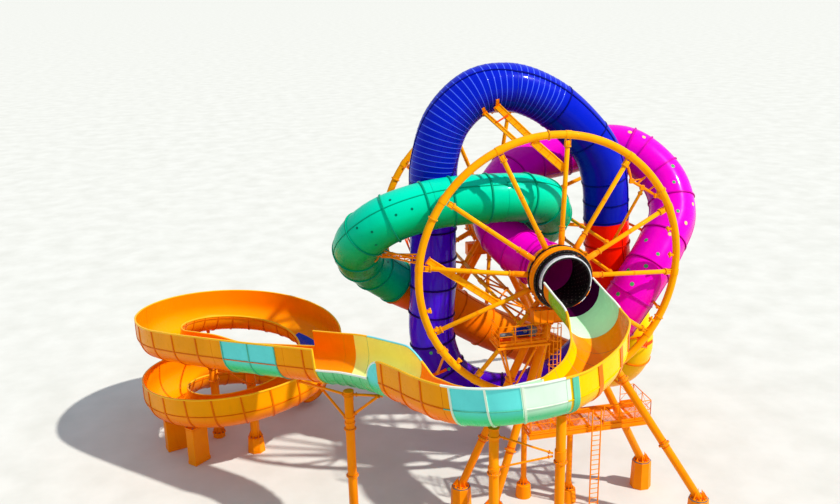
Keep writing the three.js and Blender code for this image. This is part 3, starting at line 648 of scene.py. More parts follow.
tube_section("red_skin", ["red_tube"], 22, 24, "red", "red_rib", (0.3, -0.9, 0.1), pitch=1.5)
tube_section("blue_right_skin", ["blue_tube_right"], 24, 29, "blue", "blue_rib", ARCH["seam_dir"], seam_u=ARCH["seam_u"],
             at=(24.05, 24.5, 25.1, 26.55, 27.72), ribs=((27.88, 29.0, 0.31),), thick=0.045, wide=0.1, joint_r=1.39, line="blue_rib_highlight")
tube_section("blue_left_skin", ["blue_tube_left"], 29, 33, "blue", "blue_rib", ARCH["seam_dir"], seam_u=ARCH["seam_u"],
             at=(32.55, 32.97), ribs=((29.0, 32.5, 0.31),), thick=0.035, wide=0.09, joint_r=1.39, line="blue_rib_highlight", seam_end=(-1.0, 0.35, 0.0))
tube_section("violet_skin", ["violet_tube"], 33, 35, "violet", "purple_rib", (0.55, -0.8, 0), pitch=1.9, thick=0.02, wide=0.03)
tube_section("purple_skin", ["purple_tube"], 35, 40, "purple", "purple_rib", (0.3, 0.4, 0.86), pitch=2.0)
tube_section("magenta_outer_skin", ["magenta_tube_outer"], 40, 45, "magenta", "magenta_rib", (0.82, -0.5, -0.2), at=(40.05, 40.7, 41.35, 42.2, 43.37, 44.18, 44.72), seam_u=42)
tube_section("magenta_rear_skin", ["magenta_tube_rear"], 45, 50, "magenta", "magenta_rib", (0.2, 0.75, 0.6), pitch=2.05)
tube_section("magenta_exit_skin", ["magenta_tube_exit"], 50, 56, "magenta", "magenta_rib", (0.3, -0.3, 0.9), pitch=2.1,
             bore_fn=lambda u: "black" if u > 54.1 else "bore_pink", end_mat="black", at=(50.05, 50.7, 51.3, 51.9, 52.6, 53.3))


# ---------------------------------------------------------------- spots on the tubes
def spot(mb, p, rad, along, r, mat):
    """A thin lens that follows the tube's curve. p on the skin, rad outwards, along the tube's tangent."""
    t = nrm(along - rad * np.dot(along, rad))
    w = np.cross(rad, t)
    k = 18
    V = [p + rad * 0.008]
    for rr, h in ((0.6, 0.007), (1.0, 0.0005)):
        for i in range(k):
            a = 2 * math.pi * i / k
            x, y = r * rr * math.cos(a), r * rr * math.sin(a)
            drop = y * y / (2 * R_TUBE)
            V.append(p + t * x + w * y + rad * (h - drop))
    F = [(0, 1 + i, 1 + (i + 1) % k) for i in range(k)]
    F += [(1 + i, 1 + k + i, 1 + k + (i + 1) % k, 1 + (i + 1) % k) for i in range(k)]
    mb.add(A(V), F, mat, True)


def tube_hit(px, py, ua, ub):
    """Where the photograph's ray meets the tube between ua and ub."""
    d = ray(px, py)
    U = np.linspace(ua, ub, 260)
    C = tube.pos(U)
    T = tube.tan(U)
    best = None
    for c, t in zip(C, T):
        # cylinder of radius R_TUBE round the tangent at c
        dp = d - t * np.dot(d, t)
        ep = (EYE - c) - t * np.dot(EYE - c, t)
        qa, qb, qc = np.dot(dp, dp), 2 * np.dot(dp, ep), np.dot(ep, ep) - R_TUBE**2
        D = qb * qb - 4 * qa * qc
        if D <= 0:
            continue
        k = (-qb - math.sqrt(D)) / (2 * qa)
        p = EYE + d * k
        if abs(np.dot(p - c, t)) < 0.12 and (best is None or k < best[0]):
            rad = nrm((p - c) - t * np.dot(p - c, t))
            best = (k, p, rad, t)
    return best


def seen_spots(name, list_, ua, ub, extra, mats, seed, r_extra):
    mb = Mesh()
    for px, py, r, m in list_:
        h = tube_hit(px, py, ua, ub)
        if h:
            spot(mb, h[1], h[2], h[3], r, m)
    rg = random.Random(seed)
    back = 0
    tries = 0
    while back < extra and tries < 4000:
        tries += 1
        u = rg.uniform(ua + 0.1, ub - 0.1)
        c, t = tube.pos(u)[0], tube.tan(u)[0]
        n, b = tube.round(u)
        a = rg.uniform(0, 2 * math.pi)
        rad = n[0] * math.cos(a) + b[0] * math.sin(a)
        if np.dot(rad, EYE - c) / np.linalg.norm(EYE - c) > -0.05 and list_:
            continue
        spot(mb, c + rad * R_TUBE, rad, t, rg.uniform(0.75, 1.1) * r_extra, rg.choice(mats))
        back += 1
    return done(mb, name, "wheel", ())


G_, C_ = "dot_green", "dot_pale"
seen_spots("magenta_spots", [(630, 132, .13, C_), (644, 137, .12, C_), (673, 166, .13, G_), (674, 182, .1, G_), (693, 204, .12, C_), (678, 211, .11, G_), (686, 223, .12, C_), (670, 234, .12, C_), (646, 240, .12, G_), (658, 254, .11, G_), (646, 266, .12, G_), (628, 270, .11, G_), (632, 284, .12, G_), (618, 294, .12, G_)], 40.0, 47.5, 26, [G_, C_], 3, 0.12)
seen_spots("green_spots", [(x, y, .075, "dot_dark") for x, y in ((357, 228), (372, 232), (390, 200), (396, 215), (376, 245), (365, 262), (388, 262), (401, 243), (372, 275), (395, 283), (412, 209), (356, 205))], 9.0, 13.5, 20, ["dot_dark"], 5, 0.08)
seen_spots("purple_spots", [(x, y, .1, G_) for x, y in ((431, 353), (449, 369), (497, 362), (436, 338))], 34.0, 38.0, 14, [G_], 9, 0.1)


# ---------------------------------------------------------------- wheels
def PW(x, y, z):
    return A([x, y, z], float) + O


PHASE = -6.0
for side in ("front", "rear"):
    y0, out = (0.0, -1.0) if side == "front" else (10.0, 1.0)
    rr = 0.213
    for half, a0 in (("upper", PHASE + 15), ("lower", PHASE + 195)):
        mb = Mesh()
        k = 96
        ang = np.radians(a0 + 0.02 + (180 - 0.04) * np.arange(k + 1) / k)
        e = np.stack([np.cos(ang), 0 * ang, np.sin(ang)], 1)
        C = PW(0, y0, 0) + e * 7.5
        ph = 2 * math.pi * np.arange(20) / 20
        V = C[:, None] + e[:, None] * (rr * np.cos(ph))[None, :, None] + A([0, 1.0, 0]) * (rr * np.sin(ph))[None, :, None]
        grid(mb, V, "steel_y", close_v=True, flip=False)
        for kk, fl in ((0, False), (-1, True)):
            f = tuple(range(20))
            mb.add(V[kk], [f if fl else f[::-1]], "steel_y", False)
        # bolted ring joints, and stiff plates where the spokes land
        for d in (30, 90, 150):
            a = math.radians(a0 + d - 6.5)
            ee = A([math.cos(a), 0, math.sin(a)])
            tt = A([-math.sin(a), 0, math.cos(a)])
            flange_pair(mb, PW(0, y0, 0) + ee * 7.5, tt, rr - 0.005, rr + 0.062, 0.07, "steel_y", bolts=12, sides=28, bolt_r=0.014)
        for d in (15, 45, 75, 105, 135, 165):
            a = math.radians(a0 + d)
            ee = A([math.cos(a), 0, math.sin(a)])
            tt = A([-math.sin(a), 0, math.cos(a)])
            c = PW(0, y0, 0) + ee * 7.5
            # saddle plate inside the ring, with two cheeks and lugs to each side
            lathe(mb, c, tt, [(rr - 0.004, -0.17), (rr + 0.022, -0.17), (rr + 0.022, 0.17), (rr - 0.004, 0.17)], "steel_y", 28)
            for s in (-1, 1):
                box(mb, c - ee * (rr + 0.06) + tt * s * 0.13, (0.02, 0.24, 0.13), "steel_y", (tt, A([0, 1.0, 0]), ee), 0.004)
            for s in (-1, 1):
                q = c - ee * 0.05 + tt * s * 0.2 + A([0, out * -1, 0]) * (rr + 0.02)
                box(mb, q, (0.16, 0.05, 0.12), "steel_o", (tt, A([0, 1.0, 0]), ee), 0.008)
                bolt(mb, q + tt * s * 0.03 - A([0, out, 0]) * 0.025, A([0, -out, 0]), 0.02, 0.02)
        done(mb, f"{side}_ring_{half}_pipe", "wheel", [f"{side}_ring_{half}"])

    # spokes
    mb = Mesh()
    c0 = PW(0, y0, 0)
    ax = A([0, out, 0])
    for i in range(12):
        a = math.radians(PHASE + 30 * i)
        ee = A([math.cos(a), 0, math.sin(a)])
        p0 = PW(1.70 * math.cos(a), y0 + out * 0.9, 1.70 * math.sin(a))
        p1 = PW(7.245 * math.cos(a), y0, 7.245 * math.sin(a))
        d = nrm(p1 - p0)
        L = np.linalg.norm(p1 - p0)
        bar(mb, p0 + d * 0.9, p1 - d * 0.32, 0.128, "steel_y", 20)
        # wide sleeve by the hub, tapered into the pipe
        bar(mb, p0, p0 + d * 0.75, 0.165, "steel_o", 20)
        bar(mb, p0 + d * 0.75, p0 + d * 0.95, 0.165, "steel_o", 20, r2=0.13, cham=0.004)
        flange_pair(mb, p0 + d * 1.0, d, 0.12, 0.185, 0.06, "steel_y", bolts=8, sides=24, bolt_r=0.014)
        # bolted end at the ring: two discs, a short stub and four fins
        bar(mb, p1 - d * 0.36, p1 - d * 0.05, 0.13, "steel_y", 20)
        flange_pair(mb, p1 - d * 0.36, d, 0.11, 0.2, 0.07, "steel_y", bolts=8, sides=28, bolt_r=0.018)
        nn, bb, _ = frame_of(d)
        for k in range(4):
            q = math.cos(k * math.pi / 2 + 0.78) * nn + math.sin(k * math.pi / 2 + 0.78) * bb
            box(mb, p1 - d * 0.2 + q * 0.15, (0.26, 0.09, 0.014), "steel_y", (d, q, np.cross(d, q)), 0.003)
        # weld collar halfway
        lathe(mb, p0 + d * (L * 0.55), d, [(0.12, -0.05), (0.137, -0.05), (0.137, 0.05), (0.12, 0.05)], "steel_o", 24)
    # collar that carries the spokes: two discs with ribs between them
    lathe(mb, c0, ax, [(1.637, 0.80), (1.69, 0.80), (1.69, 0.90), (1.637, 0.90)], "steel_y", 72)
    lathe(mb, c0, ax, [(1.637, 0.90), (1.70, 0.90), (1.706, 0.906), (1.706, 1.05), (1.70, 1.056), (1.637, 1.056)], "black", 72)
    for i in range(36):
        a = 2 * math.pi * (i + 0.5) / 36
        ee = A([math.cos(a), 0, math.sin(a)])
        bolt(mb, c0 + ee * 1.672 + ax * 1.056, ax, 0.018, 0.016, "zinc")
        if i % 3 != 1:
            box(mb, c0 + ee * 1.71 + ax * 0.88, (0.02, 0.07, 0.16), "steel_y", (np.cross(ax, ee), ee, ax), 0.003)
    if side == "front":
        for i in (0, 1, 7, 8, 9, 11):
            a = math.radians(PHASE + 30 * i)
            cx, cz = 3.4 * math.cos(a), 3.4 * math.sin(a)
            bar(mb, PW(cx, -0.62, cz), PW(cx, 10.42, cz), 0.1, "steel_y", 16)
            for yy in (-0.2, 9.95, 3.3, 6.7):
                flange_pair(mb, PW(cx, yy, cz), A([0, 1.0, 0]), 0.09, 0.16, 0.05, "steel_o", bolts=8, sides=20, bolt_r=0.012)
    done(mb, f"{side}_spoke_set", "wheel", [f"{side}_spokes"])

    # hub
    mb = Mesh()
    lathe(mb, c0, ax, [(1.482, 0.302), (1.55, 0.302), (1.558, 0.31), (1.558, 0.742), (1.61, 0.752), (1.618, 0.76), (1.618, 1.04), (1.61, 1.048), (1.528, 1.048), (1.528, 1.1), (1.482, 1.1)], "steel_o", 72)
    lathe(mb, c0, ax, [(1.482, 1.1), (1.528, 1.1), (1.528, 1.62), (1.482, 1.62)], "black", 72)
    lathe(mb, c0, ax, [(1.482, 1.62), (1.528, 1.62), (1.528, 1.94), (1.52, 1.948), (1.482, 1.948)], "black", 72)
    for i in range(24):
        a = 2 * math.pi * i / 24
        ee = A([math.cos(a), 0, math.sin(a)])
        box(mb, c0 + ee * 1.585 + ax * 0.64, (0.02, 0.06, 0.18), "steel_o", (np.cross(ax, ee), ee, ax), 0.004)
        bolt(mb, c0 + ee * 1.575 + ax * 1.048, ax, 0.02, 0.018, "zinc")
        bolt(mb, c0 + ee * 1.505 + ax * 1.948, ax, 0.014, 0.01, "zinc")
    done(mb, f"{side}_hub_turned", "wheel", [f"{side}_hub"])

    # bearing housing, saddle
    mb = Mesh()
    lathe(mb, c0, ax, [(1.562, 1.162), (1.70, 1.162), (1.708, 1.17), (1.708, 1.40), (1.562, 1.40)], "steel_o", 72)
    lathe(mb, c0, ax, [(1.562, 1.40), (1.738, 1.40), (1.738, 1.47), (1.562, 1.47)], "steel_y", 72)
    lathe(mb, c0, ax, [(1.562, 1.47), (1.69, 1.47), (1.69, 1.62), (1.562, 1.62)], "steel_o", 72)
    lathe(mb, c0, ax, [(1.562, 1.62), (1.70, 1.62), (1.706, 1.63), (1.706, 1.72), (1.70, 1.73), (1.562, 1.73)], "steel_o", 72)
    lathe(mb, c0, ax, [(1.562, 1.73), (1.662, 1.73), (1.662, 1.79), (1.656, 1.798), (1.562, 1.798)], "black", 72)
    for i in range(40):
        a = 2 * math.pi * i / 40
        ee = A([math.cos(a), 0, math.sin(a)])
        bolt(mb, c0 + ee * 1.615 + ax * 1.798, ax, 0.017, 0.014, "zinc")
        bolt(mb, c0 + ee * 1.692 + ax * 1.73, ax, 0.016, 0.014, "steel_o")
        bolt(mb, c0 + ee * 1.68 + ax * 1.162, -ax, 0.018, 0.018)
    for i in range(10):
        a = math.radians(200 + 140 * i / 9)
        ee = A([math.cos(a), 0, math.sin(a)])
        box(mb, c0 + ee * 1.765 + ax * 1.48, (0.03, 0.12, 0.5), "steel_o", (np.cross(ax, ee), ee, ax), 0.006)
    s = PW(0, y0 + out * 1.5, -2.0)
    # saddle box built from plates
    for dz in (-0.382, 0.382):
        box(mb, s + UP * dz, (3.3, 0.64, 0.03), "steel_o", None, 0.006)
    for dy in (-0.25, 0.25):
        box(mb, s + A([0, dy, 0]), (3.24, 0.03, 0.74), "steel_o", None, 0.005)
    for k in range(9):
        x = -1.62 + 3.24 * k / 8
        box(mb, s + A([x, 0, 0]), (0.022, 0.62, 0.74), "steel_o", None, 0.004)
    for k in range(14):
        x = -1.52 + 3.04 * k / 13
        for dy in (-0.28, 0.28):
            bolt(mb, s + A([x, dy, 0.397]), UP, 0.024, 0.022)
    done(mb, f"{side}_bearing_block", "frame", [f"{side}_bearing_housing"])

# rolled white lip at the mouth of the slide tube, turning with it; its lower half is painted black as painted shade
mb = Mesh()
cm = PW(0, -2.19, 0)
# lower half of the lip black: painted shade; the rest silver
lathe(mb, cm, A([0, 1.0, 0]), [(1.385, -0.012), (1.425, -0.012), (1.440, 0.004), (1.440, 0.24), (1.385, 0.24)], lambda i, j: "black" if 2 < i < 34 else "silver", 72, n0=A([1.0, 0, 0]))
lathe(mb, cm, A([0, 1.0, 0]), [(1.298, 0.004), (1.384, -0.006), (1.384, 0.05), (1.298, 0.05)], "black", 72)
for i in range(30):
    a = 2 * math.pi * i / 30
    ee = A([math.cos(a), 0, math.sin(a)])
    bolt(mb, cm + ee * 1.440 + A([0, 0.17, 0]), ee, 0.014, 0.012)
# bolts round the dark bearing band inside the mouth
for k in range(8):
    for i in range(30):
        a = 2 * math.pi * (i + 0.5 * (k % 2)) / 30
        ee = A([math.cos(a), 0, math.sin(a)])
        bolt(mb, cm + A([0, 0.2 + 0.26 * k, 0]) + ee * (R_BORE - 0.001), -ee, 0.028, 0.016)
done(mb, "tube_mouth_lip", "wheel")


# ---------------------------------------------------------------- trestle legs
def octagon(mb, c, r0, r1, h, mat, bev=0.03):
    """Octagonal footing with chamfered edges top and bottom."""
    ang = math.pi / 8 + 2 * math.pi * np.arange(8) / 8
    ring = np.stack([np.cos(ang), np.sin(ang), 0 * ang], 1)
    rows = [c + ring * r0, c + UP * (h - bev) + ring * r1, c + UP * h + ring * (r1 - bev)]
    grid(mb, np.stack(rows, 0), mat, close_v=True, smooth=False, flip=True)
    mb.add(rows[2], [tuple(range(8))], mat, False)
    mb.add(rows[0], [tuple(range(8))[::-1]], mat, False)


def foot(mb, p, d, r, mat, top_z, plate=None):
    """Base plate, gussets and anchor bolts where a leg of radius r meets a footing at p."""
    R = plate or r * 1.75
    lathe(mb, p, UP, [(0.0, 0.0), (R, 0.0), (R, 0.03), (R - 0.01, 0.04), (0.0, 0.04)], mat, 36)
    for k in range(8):
        a = 2 * math.pi * (k + 0.5) / 8
        e = A([math.cos(a), math.sin(a), 0])
        t = A([-math.sin(a), math.cos(a), 0])
        # triangular gusset
        x0, x1 = r * 0.98, R - 0.03
        V = [p + e * x0 + UP * 0.04, p + e * x1 + UP * 0.04, p + e * x1 + UP * 0.09, p + e * x0 + UP * 0.42]
        V2 = [v + t * 0.009 for v in V] + [v - t * 0.009 for v in V]
        F = [(0, 1, 2, 3), (7, 6, 5, 4)] + [(i, 4 + i, 4 + (i + 1) % 4, (i + 1) % 4) for i in range(4)]
        mb.add(A(V2), F, mat, False)
        a += math.pi / 8
        e = A([math.cos(a), math.sin(a), 0])
        bolt(mb, p + e * (R - 0.07) + UP * 0.04, UP, 0.03, 0.05)


LEGS = [("left_inner", -5.8, 2.0, -1.35, 1.42), ("right_inner", 5.05, 2.0, 0.75, 1.42), ("left_outer", -4.6, 4.25, -0.75, 1.62), ("right_outer", 6.2, 6.4, 1.35, 1.62)]
for side in ("front", "rear"):
    y0, out = (0.0, -1.0) if side == "front" else (10.0, 1.0)
    for name, fx, fy, tx, oy in LEGS:
        mb = Mesh()
        top = PW(tx, y0 + out * oy, -2.435)
        ft = PW(fx, y0 + out * fy, -11.4)
        base = A([ft[0], ft[1], 0.0])
        octagon(mb, base, 0.60, 0.545, 1.66, "steel_o")
        lathe(mb, base + UP * 1.66, UP, [(0.0, 0.0), (0.53, 0.0), (0.53, 0.03), (0.0, 0.03)], "grey", 8, start=0.3927)
        a = base + UP * 1.65
        d = nrm(top - A([ft[0], ft[1], 1.65]))
        L = np.linalg.norm(top - a)
        bar(mb, a, top - d * 0.015, 0.222, "steel_o", 28)
        foot(mb, base + UP * 1.69, d, 0.23, "steel_o", 0, plate=0.46)
        for f in (0.30, 0.66):
            flange_pair(mb, a + d * L * f, d, 0.21, 0.32, 0.09, "steel_o", bolts=12, sides=32, bolt_r=0.02)
        for f in (0.285, 0.315, 0.645, 0.675):
            lathe(mb, a + d * L * f, d, [(0.2, -0.02), (0.232, -0.02), (0.232, 0.02), (0.2, 0.02)], "steel_r", 28)
        # head plate against the saddle
        h = top.copy()
        h[2] = O[2] - 2.42
        lathe(mb, h, UP, [(0.0, -0.03), (0.3, -0.03), (0.3, 0.005), (0.0, 0.005)], "steel_o", 28)
        done(mb, f"{side}_leg_{name}_pipe", "frame", [f"{side}_leg_{name}"])

# ---------------------------------------------------------------- open flume
RO, RI, RL = 1.36, 1.31, 1.405
HALF = math.pi / 2


def fpoint(u, q, d):
    """Points on the flume: q runs over the section from the bottom, positive to the riders' right; d is the distance from the section's centre line."""
    C = flume.pos(u)
    S, Uv = flume.level(u)
    q = np.asarray(q, float)
    rr = RO
    out_x, out_z = np.empty(q.shape), np.empty(q.shape)
    ang = -HALF - q / rr
    out_x[...] = d * np.cos(ang)
    out_z[...] = d * np.sin(ang)
    hi = q > HALF * rr
    out_x = np.where(hi, -d, out_x)
    out_z = np.where(hi, q - HALF * rr, out_z)
    lo = q < -HALF * rr
    out_x = np.where(lo, d, out_x)
    out_z = np.where(lo, -q - HALF * rr, out_z)
    return C, S, Uv, out_x, out_z


def q_of(h):
    """Section coordinate of a wall's top edge, from its height above the centre."""
    h = np.asarray(h, float)
    return np.where(h >= 0, HALF * RO + h, RO * (HALF - np.arcsin(np.clip(-h, 0, RO) / RO)))


def fsurf(mb, u, ql, qr, d, mat, m=40, flip=False):
    w = np.linspace(0, 1, m)[None, :]
    q = -ql[:, None] * (1 - w) + qr[:, None] * w
    C, S, Uv, x, z = fpoint(u, q, d)
    V = C[:, None] + S[:, None] * x[..., None] + Uv[:, None] * z[..., None]
    grid(mb, V, mat, flip=flip)
    return V


def interp_profile(keys, u):
    ks = A([k[0] for k in keys])
    vs = A([k[1] for k in keys])
    return np.interp(u, ks, vs)


def ease(t):
    t = np.clip(t, 0, 1)
    return t * t * (3 - 2 * t)


def flume_section(name, node, u0, u1, hl, hr, mat_out, mat_in, rib, rim_l, rim_r, joints, seam="gasket",
                  in_fn=None, out_fn=None, seams=(-7.0, -173.0), rib_half=0.036, end0=None, end1=None, seam_rib=None):
    mb = Mesh()
    s0, s1 = flume.s(u0) + 0.008, flume.s(u1) - 0.008
    k = max(8, int((s1 - s0) / 0.14))
    S = np.linspace(s0, s1, k + 1)
    u = flume.u(S)
    tt = (S - s0) / (s1 - s0)
    HL = hl(u, tt) if callable(hl) else np.full(k + 1, hl)
    HR = hr(u, tt) if callable(hr) else np.full(k + 1, hr)
    ql, qr = q_of(HL), q_of(HR)
    m = 36
    Vo = fsurf(mb, u, ql, qr, RO, (lambda i, j: out_fn(tt[i], j / (m - 1))) if out_fn else mat_out, m, flip=True)
    Vi = fsurf(mb, u, ql, qr, RI, (lambda i, j: in_fn(tt[i], j / (m - 1))) if in_fn else mat_in, m)
    # edges of the skin
    for idx, fl in ((0, False), (-1, True)):
        grid(mb, np.stack([Vo[:, idx], Vi[:, idx]], 1), rim_l if idx == 0 else rim_r, flip=not fl)
    for idx, fl, em in ((0, False, end0), (-1, True, end1)):
        grid(mb, np.stack([Vo[idx], Vi[idx]], 0), em or rib, flip=fl, smooth=False)
    # rolled rims
    for sgn, qq, mt in ((-1, ql, rim_l), (1, qr, rim_r)):
        if mt is None:
            continue
        rows = []
        for dd, dq in ((RI - 0.006, -0.02), (RI - 0.004, 0.028), (RI + 0.01, 0.042), (RO + 0.03, 0.042), (RL, 0.03), (RL, -0.04), (RL - 0.012, -0.05), (RO - 0.005, -0.05)):
            C, Sd, Uv, x, z = fpoint(u, sgn * (qq + dq), dd)
            rows.append(C + Sd * x[:, None] + Uv * z[:, None])
        R = np.stack(rows, 1)
        grid(mb, R, mt, close_v=True, flip=sgn > 0)
        for kk, fl in ((0, sgn > 0), (-1, sgn < 0)):
            f = tuple(range(8))
            mb.add(R[kk], [f if fl else f[::-1]], mt, False)
    # transverse ribs with bolts
    for item in joints:
        s, half, rmat = item if isinstance(item, tuple) else (item, rib_half, rib)
        sj = s0 + (s1 - s0) * s
        sj = min(max(sj, s0 + half), s1 - half)
        uu = flume.u(A([sj - half, sj - half, sj - 0.002, sj - 0.002, sj + 0.002, sj + 0.002, sj + half, sj + half]))
        a, b = np.interp(sj, S, ql), np.interp(sj, S, qr)
        w = np.linspace(0, 1, 34)
        q = -(a - 0.04) * (1 - w) + (b - 0.04) * w
        rows = []
        for ui, dd in zip(uu, (RO - 0.004, RL, RL, RL - 0.006, RL - 0.006, RL, RL, RO - 0.004)):
            C, Sd, Uv, x, z = fpoint([ui], q[None, :], dd)
            rows.append((C[:, None] + Sd[:, None] * x[..., None] + Uv[:, None] * z[..., None])[0])
        grid(mb, np.stack(rows, 0), rmat, smooth=False)
        uj = flume.u(sj)
        T = flume.tan(uj)[0]
        for qb in np.arange(-(a - 0.12), b - 0.1, 0.3):
            C, Sd, Uv, x, z = fpoint([uj], A([[qb]]), (RO + RL) / 2)
            p = C[0] + Sd[0] * x[0, 0] + Uv[0] * z[0, 0]
            for sg in (-1, 1):
                bolt(mb, p + T * sg * half, T * sg, 0.012, 0.012, rmat)
        if seam is None or rmat != rib:
            continue
        # inside: a thin sealed joint line
        q = -(a - 0.01) * (1 - w) + (b - 0.01) * w
        rows = []
        for ui, dd in zip(flume.u(A([sj - 0.009, sj, sj + 0.009])), (RI - 0.0005, RI - 0.003, RI - 0.0005)):
            C, Sd, Uv, x, z = fpoint([ui], q[None, :], dd)
            rows.append((C[:, None] + Sd[:, None] * x[..., None] + Uv[:, None] * z[..., None])[0])
        grid(mb, np.stack(rows, 0), seam, smooth=True, flip=True)
    # long bolted seams
    for th in seams:
        q = RO * (-(math.radians(th) + HALF))
        if th > -90:
            ok = -q < ql - 0.12
        else:
            ok = q < qr - 0.12
        if ok.sum() < 3:
            continue
        uk = u[ok]
        rows = []
        for dq, dd in ((-0.022, RO - 0.004), (-0.022, RL - 0.008), (-0.002, RL - 0.006), (-0.002, RL - 0.014), (0.002, RL - 0.014), (0.002, RL - 0.006), (0.022, RL - 0.008), (0.022, RO - 0.004)):
            C, Sd, Uv, x, z = fpoint(uk, np.full(len(uk), q + dq), dd)
            rows.append(C + Sd * x[:, None] + Uv * z[:, None])
        grid(mb, np.stack(rows, 1), seam_rib or rib, smooth=False, flip=True)
        for s in np.arange(flume.s(uk[0]) + 0.2, flume.s(uk[-1]) - 0.1, 0.33):
            ui = flume.u(s)
            for dq, sg in ((-0.022, -1), (0.022, 1)):
                C, Sd, Uv, x, z = fpoint([ui], A([[q + dq]]), (RO + RL) / 2)
                C2, _, _, x2, z2 = fpoint([ui], A([[q + dq * 2]]), (RO + RL) / 2)
                p = C[0] + Sd[0] * x[0, 0] + Uv[0] * z[0, 0]
                p2 = C2[0] + Sd[0] * x2[0, 0] + Uv[0] * z2[0, 0]
                bolt(mb, p, p2 - p, 0.011, 0.011, seam_rib or rib)
    return done(mb, name, "frame", [node])


def J(u0, u1, pitch, a=True, b=False):
    """Fractions of a section's length where ribs stand."""
    L = flume.s(u1) - flume.s(u0)
    n = max(1, round(L / pitch))
    f = [k / n for k in range(1, n)]
    return ([0.0] if a else []) + f + ([1.0] if b else [])


def JU(u0, u1, *us):
    """Fractions of a section's length for joints given by their places along the flume."""
    a, b = flume.s(u0), flume.s(u1)
    return [float((flume.s(x) - a) / (b - a)) for x in us]


def wall_l(u, t=None):
    """Height of the riders' left wall above the section's centre."""
    h = 0.35 + 0.60 * ease((u - 2.0) / 1.4)
    end = -0.15 + 1.10 * np.sqrt(np.clip(1 - ((u - 11.75) / 0.75) ** 2, 0, 1))
    return np.where(u < 11.75, h, np.where(u < 12.5, end, -0.15 - 0.02 * (u - 12.5)))


def wall_r(u, t=None):
    """Height of the riders' right wall: low along the bend, high over the step."""
    h = 0.35 - 0.65 * ease((u - 2.0) / 1.0) - 0.1 * ease((u - 9.0) / 2.3)
    return h + 1.15 * ease((u - 11.35) / 1.3) + 0.10 * ease((u - 13.0) / 1.5)


t_white = JU(2, 6, 5.7)[0]
t_teal = JU(2, 6, 5.62)[0]
flume_section("mint_start_skin", "flume_mint_start", 0, 2, wall_l, wall_r, "mint_lime", "mint_in", "mint_lime", "rim_white", "rim_white", [],
              seams=(), in_fn=lambda t, v: "mauve_dark" if t < 0.27 else ("rim_white" if t < 0.30 else "mint_in"), out_fn=lambda t, v: "steel_o" if t < 0.20 else "mint_lime")
flume_section("yellow_bend_skin", "flume_yellow_bend", 2, 6, wall_l, wall_r, "yellow", "orange_in", "yellow_rib", "rim_yellow", "rim_yellow",
              [(JU(2, 6, u)[0], 0.11, "yellow_rib") for u in (2.75, 3.35, 3.92, 4.68)] + [(t_teal, 0.095, "teal")], seam_rib="yellow",
              in_fn=lambda t, v: "mint" if t > t_white else ("yellow" if v > 0.87 and t > 0.06 else ("orange_in" if v < 0.55 else "orange_deep")),
              out_fn=lambda t, v: "mint" if t > t_white else "yellow", end1="mint")
flume_section("white_skin", "flume_white", 6, 7, wall_l, wall_r, "mint", "mint_in", "rib_pale", "rim_white", "rim_white", JU(6, 7, 6.96), seam=None, end0="mint", seam_rib="rib_pale")
t_cy = JU(7, 9, 8.77)[0]
flume_section("cyan_skin", "flume_cyan", 7, 9, wall_l, wall_r, "cyan", "cyan_in", "rib_pale", "rim_white", "rim_white", JU(7, 9, 7.87, 8.78), seam=None, seam_rib="teal",
              in_fn=lambda t, v: "orange_in" if t > t_cy else "cyan_in", out_fn=lambda t, v: "orange" if t > t_cy else "cyan")
flume_section("orange_bend_skin", "flume_orange_bend", 9, 12, wall_l, wall_r, "orange", "orange_in", "orange_rib", "rim_yellow", "rim_yellow",
              JU(9, 12, 9.69, 10.62, 11.72), seam=None)
flume_section("cream_skin", "flume_cream", 12, 14, wall_l, wall_r, "low_green", "cream_in", "low_green", "rim_white", "rim_blue",
              JU(12, 14, 12.5, 12.95, 13.4, 13.8), seam=None, seams=(),
              out_fn=lambda t, v: "cyan" if t < 0.25 and v < 0.45 else ("low_green" if v < 0.6 else "cream"))
t_or = JU(14, 15, 14.45)[0]
flume_section("orange_step_skin", "flume_orange_step", 14, 15, wall_l, wall_r, "low_green", "orange_in", "low_green", "rim_white", "rim_yellow",
              JU(14, 15, 14.3, 14.8), seam=None, seams=(), in_fn=lambda t, v: "cream_in" if t < t_or else "orange_in",
              out_fn=lambda t, v: "low_green" if v < 0.5 else ("cream" if t < t_or else "orange"))
flume_section("helix_entry_skin", "helix_entry", 15, 16, 0.95, lambda u, t: 0.85 + 0 * t, "orange", "orange_in", "orange_rib", "rim_yellow", "rim_yellow",
              [(0.0, 0.05, "rim_yellow")] + JU(15, 16, 15.37), seam=None, end0="rim_yellow", end1="rim_yellow")
t_c0, t_c1 = JU(16, 18, 16.27, 17.75)
flume_section("helix_cyan_skin", "helix_cyan", 16, 18, 0.95, lambda u, t: -0.05 - 0.25 * t, "cyan", "orange_in", "orange_rib", "rim_yellow", "rim_yellow",
              [(t_c0, 0.028, "teal"), (JU(16, 18, 17.12)[0], 0.028, "teal"), (t_c1, 0.028, "teal")], seam=None,
              out_fn=lambda t, v: "cyan" if t_c0 < t < t_c1 and v < 0.62 else "orange")
h_in = lambda u, t: 0.0 * t
flume_section("helix_upper_left_skin", "helix_upper_left", 18, 22, 0.95, lambda u, t: -0.3 + 0.3 * ease(t / 0.3), "orange", "orange_in", "orange_rib", "rim_yellow", "rim_yellow",
              JU(18, 22, 18.3, 18.78, 19.47, 20.2, 20.9, 21.6), seam=None)
t_q0, t_q1, t_q2, t_q3 = JU(22, 29, 22.05, 22.65, 27.15, 28.6)
flume_section("helix_upper_back_skin", "helix_upper_back", 22, 29, 0.95, h_in, "orange", "orange_in", "orange_rib", "rim_yellow", "rim_yellow", J(22, 29, 1.45), seam=None,
              in_fn=lambda t, v: "patch_blue" if (t_q2 < t < t_q3 and 0.46 < v < 0.76) or (t_q0 < t < t_q1 and 0.50 < v < 0.68) else "orange_in")
